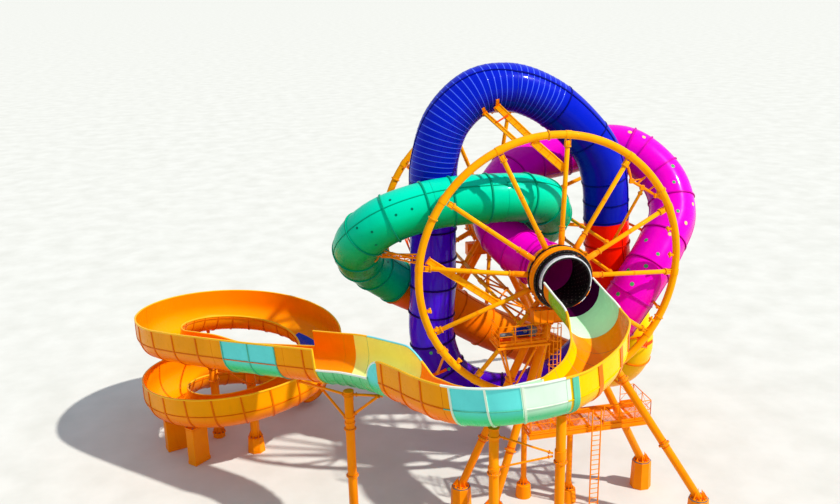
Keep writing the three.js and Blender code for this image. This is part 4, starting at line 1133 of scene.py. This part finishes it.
flume_section("helix_lower_front_skin", "helix_lower_front", 29, 36, 0.95, h_in, "orange", "orange_in", "orange_rib", "rim_yellow", "rim_yellow", J(29, 36, 1.4), seam=None)
flume_section("helix_lower_back_skin", "helix_lower_back", 36, 44, 0.95, h_in, "orange", "orange_in", "orange_rib", "rim_yellow", "rim_yellow", J(36, 44, 1.45, True, True), seam=None)


# ---------------------------------------------------------------- columns under the flume
def skin_at(i, angle, clear):
    u = np.atleast_1d(float(i))
    C = flume.pos(u)[0]
    S, Uv = flume.level(u)
    a = math.radians(angle)
    return C + S[0] * (1.42 + clear) * math.cos(a) + Uv[0] * (1.42 + clear) * math.sin(a)


def cradle(mb, i, lo, hi, mat):
    """Curved saddle strip under the flume, between two section angles."""
    s = flume.s(float(i))
    ang = np.radians(np.linspace(lo, hi, 14))
    rows = []
    for ds, d in ((-0.07, 1.425), (-0.07, 1.455), (0.07, 1.455), (0.07, 1.425)):
        u = flume.u(A([s + ds]))
        C = flume.pos(u)[0]
        S, Uv = flume.level(u)
        rows.append(C + S[0] * (d * np.cos(ang))[:, None] + Uv[0] * (d * np.sin(ang))[:, None])
    grid(mb, np.stack(rows, 1), mat, close_v=True, smooth=False, flip=True)
    grid(mb, np.stack(rows, 1)[[0, -1]], mat, smooth=False)


COLS = [("column_bend", -3.2, -9.9, 0.24, 6, None), ("column_cyan", -6.3, -9.6, 0.24, 8.1, None), ("column_step", -11.9, -2.72, 0.25, None, -4.5),
        ("column_helix", -16.6, 8.0, 0.3, None, -6.9), ("column_helix_left", -18.9, 10.5, 0.28, None, -7.6)]
ARMS = {
    "column_step": [(12.75, -80, -4.7), (12.75, -70, -6.0), (16.05, -80, -4.75), (15.4, -75, -6.3)],
    "column_helix": [(18.5, -120, -7.6), (18, -120, -7.6), (17.2, -120, -7.2)],
    "column_helix_left": [(19.2, -125, -8.2), (20.6, -125, -8.2)],
}


def strut_(mb, p, q, r=0.05):
    """Pipe with flanged ends."""
    d = nrm(q - p)
    bar(mb, p, q, r, "steel_o", 14)
    for c in (p + d * 0.3, q - d * 0.2):
        flange_pair(mb, c, d, r - 0.006, r + 0.045, 0.036, "steel_o", bolts=6, sides=16, bolt_r=0.01)


for name, x, y, r, under, tz in COLS:
    mb = Mesh()
    base = PW(x, y, -13.1)
    base[2] = 0.0
    top = PW(x, y, tz)[2] if under is None else flume.pos(float(under))[0][2] - 1.42 - 0.13
    r0, r1, bh = (0.41, 0.40, 0.3) if name == "column_helix_left" else (0.585, 0.51, 0.98)
    octagon(mb, base, r0, r1, bh, "steel_o")
    foot(mb, base + UP * bh, UP, r, "steel_o", 0, plate=r * 1.55)
    bar(mb, base + UP * (bh + 0.01), A([base[0], base[1], top - 0.02]), r - 0.008, "steel_o", 30)
    L = top - bh
    for f in (0.36, 0.72):
        flange_pair(mb, base + UP * (bh + L * f), UP, r - 0.02, r + 0.075, 0.08, "steel_o", bolts=14, sides=32, bolt_r=0.018)
    lathe(mb, A([base[0], base[1], top]), UP, [(0.0, -0.03), (r + 0.03, -0.03), (r + 0.03, 0.0), (0.0, 0.0)], "steel_o", 30)
    for i, ang, fz in ARMS.get(name, ()):
        p0, p1 = PW(x, y, fz), skin_at(i, ang, 0.1)
        bar(mb, p0, p1, 0.072, "steel_o", 16)
        d = nrm(p1 - p0)
        flange_pair(mb, p0 + d * (r + 0.16), d, 0.065, 0.12, 0.05, "steel_o", bolts=6, sides=18, bolt_r=0.012)
        lathe(mb, p1 - d * 0.02, d, [(0.0, -0.02), (0.11, -0.02), (0.11, 0.02), (0.0, 0.02)], "steel_o", 18)
        lathe(mb, A([base[0], base[1], p0[2]]), UP, [(r - 0.02, -0.06), (r + 0.03, -0.06), (r + 0.03, 0.06), (r - 0.02, 0.06)], "steel_o", 30)
    if name == "column_cyan":
        for z0, z1 in ((-4.25, -5.35), (-5.85, -5.5)):
            strut_(mb, PW(x + 0.2, y - 0.02, z0), PW(-3.56, -9.88, z1))
            lathe(mb, A([base[0], base[1], PW(0, 0, z0)[2]]), UP, [(r - 0.02, -0.07), (r + 0.035, -0.07), (r + 0.035, 0.07), (r - 0.02, 0.07)], "steel_o", 30)
    if name == "column_bend":
        lathe(mb, A([base[0], base[1], PW(0, 0, -5.42)[2]]), UP, [(r - 0.02, -0.2), (r + 0.035, -0.2), (r + 0.035, 0.2), (r - 0.02, 0.2)], "steel_o", 30)
    done(mb, name + "_post", "frame", [name])

# braces between the two inner columns of the spiral and its upper turn
mb = Mesh()
hx = [PW(-16.6, 8.0, 0), PW(-18.9, 10.5, 0)]
for (cx, cz, i, ang) in ((0, -7.6, 19.6, -95), (0, -7.7, 21.0, -95), (1, -8.3, 18.6, -95), (1, -8.3, 22.4, -95), (0, -7.6, 17.6, -95), (1, -8.4, 24.0, -95)):
    a = A([hx[cx][0], hx[cx][1], PW(0, 0, cz)[2]])
    b = skin_at(i, ang, 0.02)
    d = nrm(b - a)
    strut_(mb, a + d * 0.2, b, 0.055)
    lathe(mb, b - d * 0.01, d, [(0.0, -0.015), (0.13, -0.015), (0.13, 0.02), (0.0, 0.02)], "steel_o", 16)
d = nrm(hx[1] - hx[0])
for z0, z1 in ((-7.4, -8.6), (-8.6, -7.9)):
    strut_(mb, A([hx[0][0], hx[0][1], PW(0, 0, z0)[2]]) + d * 0.25, A([hx[1][0], hx[1][1], PW(0, 0, z1)[2]]) - d * 0.25, 0.055)
done(mb, "spiral_column_braces", "frame", ())

for name, x, y, i, turn, drop in (("helix_plinth_front", -20.15, 7.5, 32.9, 0.75, 0.64), ("helix_plinth_left", -21.6, 9.6, 34.2, 0.3, 0.68)):
    mb = Mesh()
    b = PW(x, y, 0)
    top = flume.pos(float(i))[0][2] - 1.42 - drop
    ax_ = (A([math.cos(turn), math.sin(turn), 0]), A([-math.sin(turn), math.cos(turn), 0]), UP)
    c = A([b[0], b[1], 0.0])
    box(mb, c + UP * (top / 2 - 0.06), (1.21, 0.66, top - 0.12), "steel_o", ax_, 0.03)
    box(mb, c + UP * (top - 0.06), (1.25, 0.70, 0.12), "steel_o", ax_, 0.02)
    box(mb, c + UP * 0.12, (1.25, 0.70, 0.24), "steel_o", ax_, 0.02)
    for sx in (-1, 1):
        for sy in (-1, 1):
            bolt(mb, c + ax_[0] * sx * 0.5 + ax_[1] * sy * 0.25 + UP * top, UP, 0.035, 0.05)
    done(mb, name + "_block", "frame", [name])

# ---------------------------------------------------------------- service gallery, ladder, decks
DZ = -8.1
GX0, GX1, GY0, GY1 = -2.3, 4.85, -3.3, -1.0
mb = Mesh()
leg_lines = [(PW(fx, -fy, -11.45), PW(tx, -o, -2.42)) for _, fx, fy, tx, o in LEGS]


def near_leg(p, r=0.33):
    for a, b in leg_lines:
        d = b - a
        t = min(max(np.dot(p - a, d) / np.dot(d, d), 0), 1)
        if np.linalg.norm(p - (a + d * t)) < r:
            return True
    return False


def split_beam(mb, a, b, w, h, mat):
    """A beam that stops short of any leg it would run through."""
    a, b = np.asarray(a, float), np.asarray(b, float)
    n = max(2, int(np.linalg.norm(b - a) / 0.06))
    P = [a + (b - a) * k / n for k in range(n + 1)]
    ok = [not near_leg(p) for p in P]
    k = 0
    while k <= n:
        if ok[k]:
            j = k
            while j < n and ok[j + 1]:
                j += 1
            if j > k:
                beam(mb, P[k], P[j], w, h, mat)
            k = j + 1
        else:
            k += 1


for y in (GY0 + 0.06, GY1 - 0.06):
    for dz, w, h in ((-0.01, 0.12, 0.018), (-0.16, 0.02, 0.3), (-0.32, 0.12, 0.018)):
        split_beam(mb, PW(GX0, y, DZ + dz), PW(GX1, y, DZ + dz), w, h, "steel_o")
for x in np.linspace(GX0 + 0.03, GX1 - 0.03, 9):
    split_beam(mb, PW(x, GY0 + 0.1, DZ - 0.12), PW(x, GY1 - 0.1, DZ - 0.12), 0.06, 0.18, "steel_o")
for y in np.arange(GY0 + 0.16, GY1 - 0.1, 0.085):
    split_beam(mb, PW(GX0 + 0.03, y, DZ - 0.018), PW(GX1 - 0.03, y, DZ - 0.018), 0.012, 0.03, "grate")
for x in np.arange(GX0 + 0.2, GX1 - 0.1, 0.3):
    split_beam(mb, PW(x, GY0 + 0.1, DZ - 0.012), PW(x, GY1 - 0.1, DZ - 0.012), 0.012, 0.018, "grate")
for x, y in ((0.4, -2.4), (-1.9, -1.3)):
    g = PW(x, y, -13.1)
    g[2] = 0.0
    lathe(mb, g, UP, [(0.0, 0.0), (0.45, 0.0), (0.43, 0.4), (0.40, 0.77), (0.37, 0.8), (0.0, 0.8)], "steel_o", 28)
    bar(mb, g + UP * 0.78, PW(x, y, DZ - 0.06), 0.162, "steel_o", 22)
    foot(mb, g + UP * 0.8, UP, 0.165, "steel_o", 0, plate=0.3)
    lathe(mb, PW(x, y, DZ - 0.3), UP, [(0.15, -0.03), (0.26, -0.03), (0.26, 0.0), (0.15, 0.0)], "steel_o", 22)
done(mb, "gallery_frame", "frame", ["service_gallery"])


def railing(name, nodes, pts, z, post, cross=False, kick=True):
    mb = Mesh()
    P = [PW(x, y, z) for x, y in pts]
    for a, b in zip(P, P[1:]):
        for h, r in ((1.1, 0.026), (0.55, 0.02), (0.82, 0.014), (0.28, 0.014)):
            if h in (0.82, 0.28) and cross:
                continue
            bar(mb, a + UP * h, b + UP * h, r, "steel_o", 10)
        if kick:
            beam(mb, a + UP * 0.085, b + UP * 0.085, 0.008, 0.14, "steel_o")
        n = max(1, round(np.linalg.norm(b - a) / post))
        for k in range(n + 1):
            p = a + (b - a) * k / n
            bar(mb, p + UP * 0.005, p + UP * 1.115, 0.026, "steel_o", 10)
            box(mb, p + UP * 0.012, (0.1, 0.1, 0.014), "steel_o", None, 0.003)
            if k < n and cross:
                q = a + (b - a) * (k + 1) / n
                m = (p + q) / 2
                bar(mb, p + UP * 0.15, m + UP * 0.62, 0.012, "steel_o", 8)
                bar(mb, m + UP * 0.62, p + UP * 1.05, 0.012, "steel_o", 8)
                bar(mb, q + UP * 0.15, m + UP * 0.62, 0.012, "steel_o", 8)
                bar(mb, m + UP * 0.62, q + UP * 1.05, 0.012, "steel_o", 8)
    done(mb, name, "frame", nodes)


railing("gallery_rail_front", ["gallery_railing_front"], [(-2.2, -3.22), (1.1, -3.22)], DZ, 1.15, True)
railing("gallery_rail_right", ["gallery_railing_right"], [(2.0, -3.22), (4.77, -3.22), (4.77, -1.08), (3.95, -1.08)], DZ, 1.0, True)
railing("gallery_rail_left", ["gallery_railing_left"], [(-2.22, -3.1), (-2.22, -1.08)], DZ, 1.0, True)

mb = Mesh()
lx0, lx1, ly = 1.25, 1.75, -3.42
for x in (lx0, lx1):
    bar(mb, PW(x, ly, -13.09), PW(x, ly, DZ + 1.05), 0.04, "steel_o", 12)
for z in np.arange(-12.8, DZ + 0.9, 0.3):
    bar(mb, PW(lx0, ly, z), PW(lx1, ly, z), 0.024, "steel_o", 10)
for z in (-12.0, -10.6, -9.2):
    for x in (lx0, lx1):
        box(mb, PW(x, ly + 0.02, z), (0.05, 0.05, 0.1), "steel_o", None, 0.006)
done(mb, "ladder_to_gallery", "frame", ["ground_ladder"])

mb = Mesh()
c = PW(-2.55, -2.2, -3.05)
for y in np.arange(-2.9, -1.5, 0.1):
    split_beam(mb, PW(-3.95, y, -3.03), PW(-1.15, y, -3.03), 0.014, 0.035, "grate")
for x in np.arange(-3.85, -1.15, 0.35):
    split_beam(mb, PW(x, -2.94, -3.03), PW(x, -1.46, -3.03), 0.014, 0.03, "grate")
for y in (-2.94, -1.46):
    split_beam(mb, PW(-4.0, y, -3.07), PW(-1.1, y, -3.07), 0.05, 0.12, "steel_o")
for x in (-3.98, -1.12):
    split_beam(mb, PW(x, -2.95, -3.07), PW(x, -1.45, -3.07), 0.05, 0.12, "steel_o")
for x in (-1.75, -3.6):
    for dz, w, h in ((-0.08, 0.12, 0.02), (-0.15, 0.02, 0.13), (-0.22, 0.12, 0.02)):
        split_beam(mb, PW(x, -2.95, -3.0 + dz), PW(x, -1.45, -3.0 + dz), w, h, "steel_o")
for a, b in (((-3.6, -2.7, -3.2), (-2.75, -1.75, -6.1)), ((-3.6, -1.6, -3.2), (-2.75, -1.6, -6.1)), ((-1.75, -2.7, -3.2), (-2.75, -1.75, -6.1))):
    a, b = PW(*a), PW(*b)
    d = nrm(b - a)
    bar(mb, a, b, 0.062, "steel_o", 14)
    for p, sg in ((a + d * 0.25, 1), (b - d * 0.4, -1)):
        flange_pair(mb, p, d, 0.055, 0.1, 0.04, "steel_o", bolts=6, sides=16, bolt_r=0.01)
box(mb, PW(-1.75, -1.62, -2.78), (0.12, 0.5, 0.66), "steel_o", None, 0.01)
# drive motor, gear case and hydraulic cylinder on the deck
m0 = PW(-2.15, -1.95, -2.62)
bar(mb, m0 - A([0.42, 0, 0]), m0 + A([0.12, 0, 0]), 0.21, "motor", 28)
for k in range(16):
    a = 2 * math.pi * k / 16
    e = A([0, math.cos(a), math.sin(a)])
    box(mb, m0 + A([-0.15, 0, 0]) + e * 0.22, (0.42, 0.03, 0.012), "motor", (A([1.0, 0, 0]), e, np.cross(A([1.0, 0, 0]), e)), 0.003)
bar(mb, m0 - A([0.56, 0, 0]), m0 - A([0.42, 0, 0]), 0.225, "motor", 28)
box(mb, m0 + A([0.32, 0, -0.02]), (0.4, 0.5, 0.52), "grey", None, 0.04)
bar(mb, m0 + A([0.5, 0, 0.02]), m0 + A([0.62, 0, 0.02]), 0.17, "grey", 24)
box(mb, m0 + A([0, 0, -0.28]), (1.0, 0.56, 0.05), "steel_r", None, 0.01)
for sx in (-0.4, 0.4):
    for sy in (-0.22, 0.22):
        bolt(mb, m0 + A([sx, sy, -0.255]), UP, 0.02, 0.03)
box(mb, m0 + A([-0.1, -0.24, 0.12]), (0.2, 0.1, 0.16), "grey", None, 0.015)
m1 = PW(-3.35, -2.1, -2.68)
bar(mb, m1 - A([0.28, 0, 0]), m1 + A([0.28, 0, 0.0]), 0.13, "grey", 20)
bar(mb, m1 + A([0.26, 0, 0]), m1 + A([0.42, 0, 0]), 0.07, "zinc", 16)
box(mb, m1 + A([0, 0, -0.2]), (0.6, 0.3, 0.18), "steel_r", None, 0.015)
done(mb, "hub_deck_frame", "frame", ["hub_deck"])
railing("hub_deck_rail", ["hub_deck_railing"], [(-1.25, -2.85), (-3.9, -2.85), (-3.9, -1.55)], -3.0, 0.9, False)

# ladder with hoops from the gallery up to the hub deck
mb = Mesh()
hx0, hx1, hy = -1.0, -0.55, -2.55
z0, z1 = DZ + 0.02, -2.0
for x in (hx0, hx1):
    bar(mb, PW(x, hy, z0), PW(x, hy, z1), 0.026, "steel_o", 12)
for z in np.arange(z0 + 0.3, z1 - 0.1, 0.3):
    bar(mb, PW(hx0, hy, z), PW(hx1, hy, z), 0.014, "steel_o", 10)
hoops = np.arange(z0 + 2.2, z1 - 0.05, 0.75)
for z in hoops:
    ang = np.linspace(math.radians(180), math.radians(360), 15)
    pts = [PW((hx0 + hx1) / 2 + 0.34 * math.cos(a), hy - 0.1 + 0.5 * math.sin(a), z) for a in ang]
    pts = [PW(hx0, hy, z)] + pts + [PW(hx1, hy, z)]
    for a, b in zip(pts, pts[1:]):
        beam(mb, a, b, 0.008, 0.05, "steel_o")
for a in (200, 235, 270, 305, 340):
    a = math.radians(a)
    x, y = (hx0 + hx1) / 2 + 0.34 * math.cos(a), hy - 0.1 + 0.5 * math.sin(a)
    beam(mb, PW(x, y, hoops[0]), PW(x, y, hoops[-1]), 0.008, 0.04, "steel_o", up=A([1.0, 0, 0]))
for z in (-7.6, -5.4, -3.3):
    for x in (hx0, hx1):
        bar(mb, PW(x, hy, z), PW(x, -2.02, z), 0.02, "steel_o", 8)
done(mb, "hub_ladder", "frame")

# ---------------------------------------------------------------- steelwork that turns with the wheels
mb = Mesh()


def on_ring(deg, y=0.0, r=7.28):
    a = math.radians(deg)
    return PW(r * math.cos(a), y, r * math.sin(a))


def on_tube(u, d, clear=0.03):
    """Point on the tube's skin at u, on the side that looks along d."""
    c, t = tube.pos(float(u))[0], tube.tan(float(u))[0]
    d = nrm(np.asarray(d, float) - t * np.dot(d, t))
    return c + d * (R_TUBE + clear), d, t


def cuff(mb, u, d, span=1.1, mat="steel_r"):
    """Curved pad bolted round part of the tube."""
    c, t = tube.pos(float(u))[0], tube.tan(float(u))[0]
    d = nrm(np.asarray(d, float) - t * np.dot(d, t))
    lathe(mb, c, t, [(R_TUBE + 0.004, -0.09), (R_TUBE + 0.05, -0.09), (R_TUBE + 0.05, 0.09), (R_TUBE + 0.004, 0.09)], mat, 20, start=-span / 2, span=span, n0=d)


def strut(mb, a, b, r=0.075, mat="steel_y"):
    a, b = np.asarray(a, float), np.asarray(b, float)
    d = nrm(b - a)
    bar(mb, a, b, r, mat, 14)
    for p in (a + d * 0.16, b - d * 0.16):
        flange_pair(mb, p, d, r - 0.01, r + 0.05, 0.04, mat, bolts=6, sides=18, bolt_r=0.01)


def truss(mb, a, b, w, mat="steel_r", r=0.045, side=UP, n=5):
    """Two chords with zigzag web."""
    a, b = np.asarray(a, float), np.asarray(b, float)
    d = nrm(b - a)
    s = nrm(np.asarray(side, float) - d * np.dot(side, d)) * w / 2
    bar(mb, a + s, b + s, r, mat, 12)
    bar(mb, a - s, b - s, r, mat, 12)
    for k in range(n):
        p, q = a + (b - a) * k / n, a + (b - a) * (k + 1) / n
        bar(mb, p + s, q - s, r * 0.6, mat, 8)
        bar(mb, q - s, q + s, r * 0.6, mat, 8)
    bar(mb, a - s, a + s, r * 0.7, mat, 8)


TRUSSES = [
    # (u on the tube, side of the tube, ring angle, y of the ring)
    (29.5, (0.1, 0.8, -0.6), 98, 10.0, "truss"),
    (26.2, (0.2, 0.9, -0.2), 48, 10.0, "strut"),
    (33.8, (-0.5, 0.85, 0), 164, 10.0, "truss"),
    (35.3, (-0.4, 0.85, 0), 212, 10.0, "strut"),
    (35.6, (-0.3, -0.9, -0.2), 214, 0.0, "strut"),
    (20.3, (0.3, -0.95, 0), -42, 0.0, "truss"),
    (22.4, (0.5, -0.85, 0), -24, 0.0, "strut"),
    (20.6, (0.3, 0.95, 0), -40, 10.0, "truss"),
    (24.6, (0.7, 0.7, 0), 10, 10.0, "strut"),
    (37.4, (0.1, -0.7, -0.7), 254, 0.0, "truss"),
    (16.5, (0.1, 0.9, -0.4), 244, 10.0, "strut"),
    (17.6, (0.3, 0.9, -0.4), 285, 10.0, "strut"),
    (42.3, (-0.5, 0.85, 0.2), 3, 10.0, "strut"),
    (45.4, (-0.3, 0.9, 0.2), 38, 10.0, "strut"),
    (12.2, (0.95, 0.2, 0.3), 176, 10.0, "truss"),
]
for u, d, deg, yy, kind in TRUSSES:
    p, dd, t = on_tube(u, d, 0.0)
    q = on_ring(deg, yy, 7.27)
    cuff(mb, u, d, 0.9)
    if kind == "truss":
        truss(mb, p + dd * 0.03, q, 0.42, "steel_r", 0.05, t, 4)
    else:
        strut(mb, p + dd * 0.03, q, 0.08, "steel_o")


def on_plane(px, py, y=0.0):
    """Where the photograph's ray meets the plane y of the wheel."""
    d = ray(px, py)
    return EYE + d * ((O[1] + y - EYE[1]) / d[1])


def girder(mb, a, b, w, mat="steel_y"):
    """Flat box girder in the wheel's plane: web with lightening plates, two edge pipes, end plates."""
    d = nrm(b - a)
    n = nrm(np.cross(d, A([0, 1.0, 0])))
    L = np.linalg.norm(b - a)
    box(mb, (a + b) / 2, (L, w, 0.05), mat, (d, n, np.cross(d, n)), 0.01)
    for sg in (-1, 1):
        bar(mb, a + n * sg * w / 2, b + n * sg * w / 2, 0.052, mat, 14)
    k = max(2, int(L / 0.5))
    for i in range(k + 1):
        c = a + d * (0.06 + (L - 0.12) * i / k)
        box(mb, c, (0.02, w, 0.12), "steel_o", (d, n, np.cross(d, n)), 0.004)
    for c in (a + d * 0.02, b - d * 0.02):
        box(mb, c, (0.05, w + 0.16, 0.2), "steel_o", (d, n, np.cross(d, n)), 0.01)
        for sx in (-1, 1):
            for sy in (-1, 1):
                bolt(mb, c + n * sx * (w / 2 + 0.03) + np.cross(d, n) * sy * 0.1, np.cross(d, n) * sy, 0.02, 0.02)


# girders from the front ring to the spokes, with arms that hold the arch and the return of the tube
girder(mb, on_plane(533, 141.5, 0.0), on_plane(564.5, 169, -0.12), 0.34)
girder(mb, on_plane(427.5, 260.5, 0.0), on_plane(497.5, 303.5, -0.35), 0.3)
for u, d, qx, qy, w_ in ((30.15, (0.35, -0.7, -0.7), 519, 143.5, 0.16), (29.6, (0.3, -0.75, -0.6), 536, 143, 0.3)):
    p, dd, t = on_tube(u, d, 0.0)
    cuff(mb, u, d, 0.7, "steel_o")
    girder(mb, p + dd * 0.03, on_plane(qx, qy, 0.0), w_, "steel_y")
p0, p1 = on_tube(30.15, (0.35, -0.7, -0.7), 0.06)[0], on_tube(29.6, (0.3, -0.75, -0.6), 0.06)[0]
bar(mb, p0 + (on_plane(517, 141) - p0) * 0.35, p1 + (on_plane(535, 136) - p1) * 0.3, 0.05, "steel_r", 12)
for u, d, qx, qy in ((10.7, (0.75, -0.45, -0.5), 420, 262), (11.3, (0.8, -0.2, -0.5), 421, 256)):
    p, dd, t = on_tube(u, d, 0.0)
    cuff(mb, u, d, 0.7, "steel_o")
    truss(mb, p + dd * 0.03, on_plane(qx, qy, 0.12), 0.26, "steel_o", 0.05, t, 5)
# triangular bracket under the ring on the right, and the stay to the tube behind it
for ax_, ay_, bx_, by_, r in ((628, 166, 631.5, 181, 0.07), (631.5, 181, 662, 199, 0.08), (637, 184, 645.5, 176.5, 0.055), (648, 190.5, 654.5, 186, 0.05), (631.5, 181, 645, 178, 0.04)):
    bar(mb, on_plane(ax_, ay_, 0.05), on_plane(bx_, by_, 0.05), r, "steel_o", 14)
for x, y in ((631.5, 181), (642, 187.5), (656, 195.5)):
    box(mb, on_plane(x, y, 0.0), (0.26, 0.16, 0.26), "steel_o", None, 0.02)
hit = tube_hit(612, 243, 22.0, 24.6)
if hit:
    bar(mb, on_plane(642, 190, 0.15), hit[1], 0.085, "steel_y", 16)
    flange_pair(mb, on_plane(642, 190, 0.15) + nrm(hit[1] - on_plane(642, 190, 0.15)) * 0.3, nrm(hit[1] - on_plane(642, 190, 0.15)), 0.07, 0.14, 0.05, "steel_y", bolts=6, sides=20, bolt_r=0.012)
# bracing between the long bars of the rotor, left out wherever the tube passes
TC = tube.pos(np.linspace(0.3, 55.7, 900))


def clear_of_tube(a, b, gap=1.47):
    P = a + (b - a) * np.linspace(0.0, 1.0, 24)[:, None]
    return np.linalg.norm(P[:, None] - TC[None], axis=2).min() > gap


def long_bar(i, y):
    a = math.radians(PHASE + 30 * i)
    return PW(3.4 * math.cos(a), y, 3.4 * math.sin(a))


for i, j in ((7, 8), (8, 9)):
    for ya, yb in ((0.15, 3.3), (3.3, 6.7), (6.7, 9.85)):
        for a, b in ((long_bar(i, ya), long_bar(j, yb)), (long_bar(j, ya), long_bar(i, yb)), (long_bar(i, yb), long_bar(j, yb))):
            if clear_of_tube(a, b):
                strut(mb, a, b, 0.06, "steel_o")
for i in (7, 8, 9):
    for sg in (-1, 1):
        a, b = long_bar(i, 6.7), on_ring(PHASE + 30 * i + sg * 13, 10.0, 7.27)
        if clear_of_tube(a, b):
            strut(mb, a, b, 0.07, "steel_o")
# lugs on the ring
for deg in (193.5, 203.0, 222.0, 14.5, 2.0, 330.0, 300.0, 262.0):
    c = on_ring(deg, -0.02, 7.5)
    e = nrm(c - PW(0, -0.02, 0))
    t_ = np.cross(e, A([0, 1.0, 0]))
    box(mb, c - e * 0.34, (0.12, 0.3, 0.24), "steel_y", (t_, A([0, 1.0, 0]), e), 0.015)
    bar(mb, c - e * 0.4 - t_ * 0.16, c - e * 0.4 + t_ * 0.16, 0.06, "steel_y", 12)
    bolt(mb, c - e * 0.4 + t_ * 0.16, t_, 0.035, 0.03)
    bolt(mb, c - e * 0.4 - t_ * 0.16, -t_, 0.035, 0.03)
done(mb, "wheel_tube_trusses", "wheel", ())

# ---------------------------------------------------------------- floor, light, camera
fm = bpy.data.meshes.new("floor")
fm.from_pydata([(-4000, -4000, 0), (4000, -4000, 0), (4000, 4000, 0), (-4000, 4000, 0)], [], [(0, 1, 2, 3)])
MF = Mat("floor_pale")
MF.link(MF.mix(MF.ramp(MF.noise(0.35, 4.0), 0.35, 0.7), lin("#d9dad6"), lin("#cfd0cb")), MF.b.inputs["Base Color"])
MF.b.inputs["Roughness"].default_value = 0.85
fm.materials.append(MF.m)
floor = bpy.data.objects.new("floor", fm)
floor.location.z = -0.002
bpy.context.scene.collection.objects.link(floor)

world = bpy.data.worlds.new("sky")
bpy.context.scene.world = world
world.use_nodes = True
bg = world.node_tree.nodes["Background"]
bg.inputs[0].default_value = (0.80, 0.88, 1.0, 1.0)
bg.inputs[1].default_value = 0.56

sun = bpy.data.lights.new("sun", "SUN")
sun.energy = 4.15
sun.angle = math.radians(1.5)
sun.color = (1.0, 0.96, 0.88)
so = bpy.data.objects.new("sun", sun)
to_sun = nrm((0.62, -0.45, 0.85))
so.rotation_euler = Vector(to_sun.tolist()).to_track_quat("Z", "Y").to_euler()
bpy.context.scene.collection.objects.link(so)

cam = bpy.data.cameras.new("camera")
cam.lens = FOCAL / 840 * 36
cam.sensor_width = 36
cam.clip_end = 2000
co = bpy.data.objects.new("camera", cam)
M = Matrix.Identity(4)
for i in range(3):
    M[i][0], M[i][1], M[i][2], M[i][3] = RT[i], UPV[i], -FWD[i], EYE[i]
co.matrix_world = M
bpy.context.scene.collection.objects.link(co)
bpy.context.scene.camera = co
bpy.context.scene.view_settings.view_transform = "Standard"
bpy.context.scene.view_settings.look = "None"

bpy.context.view_layer.update()
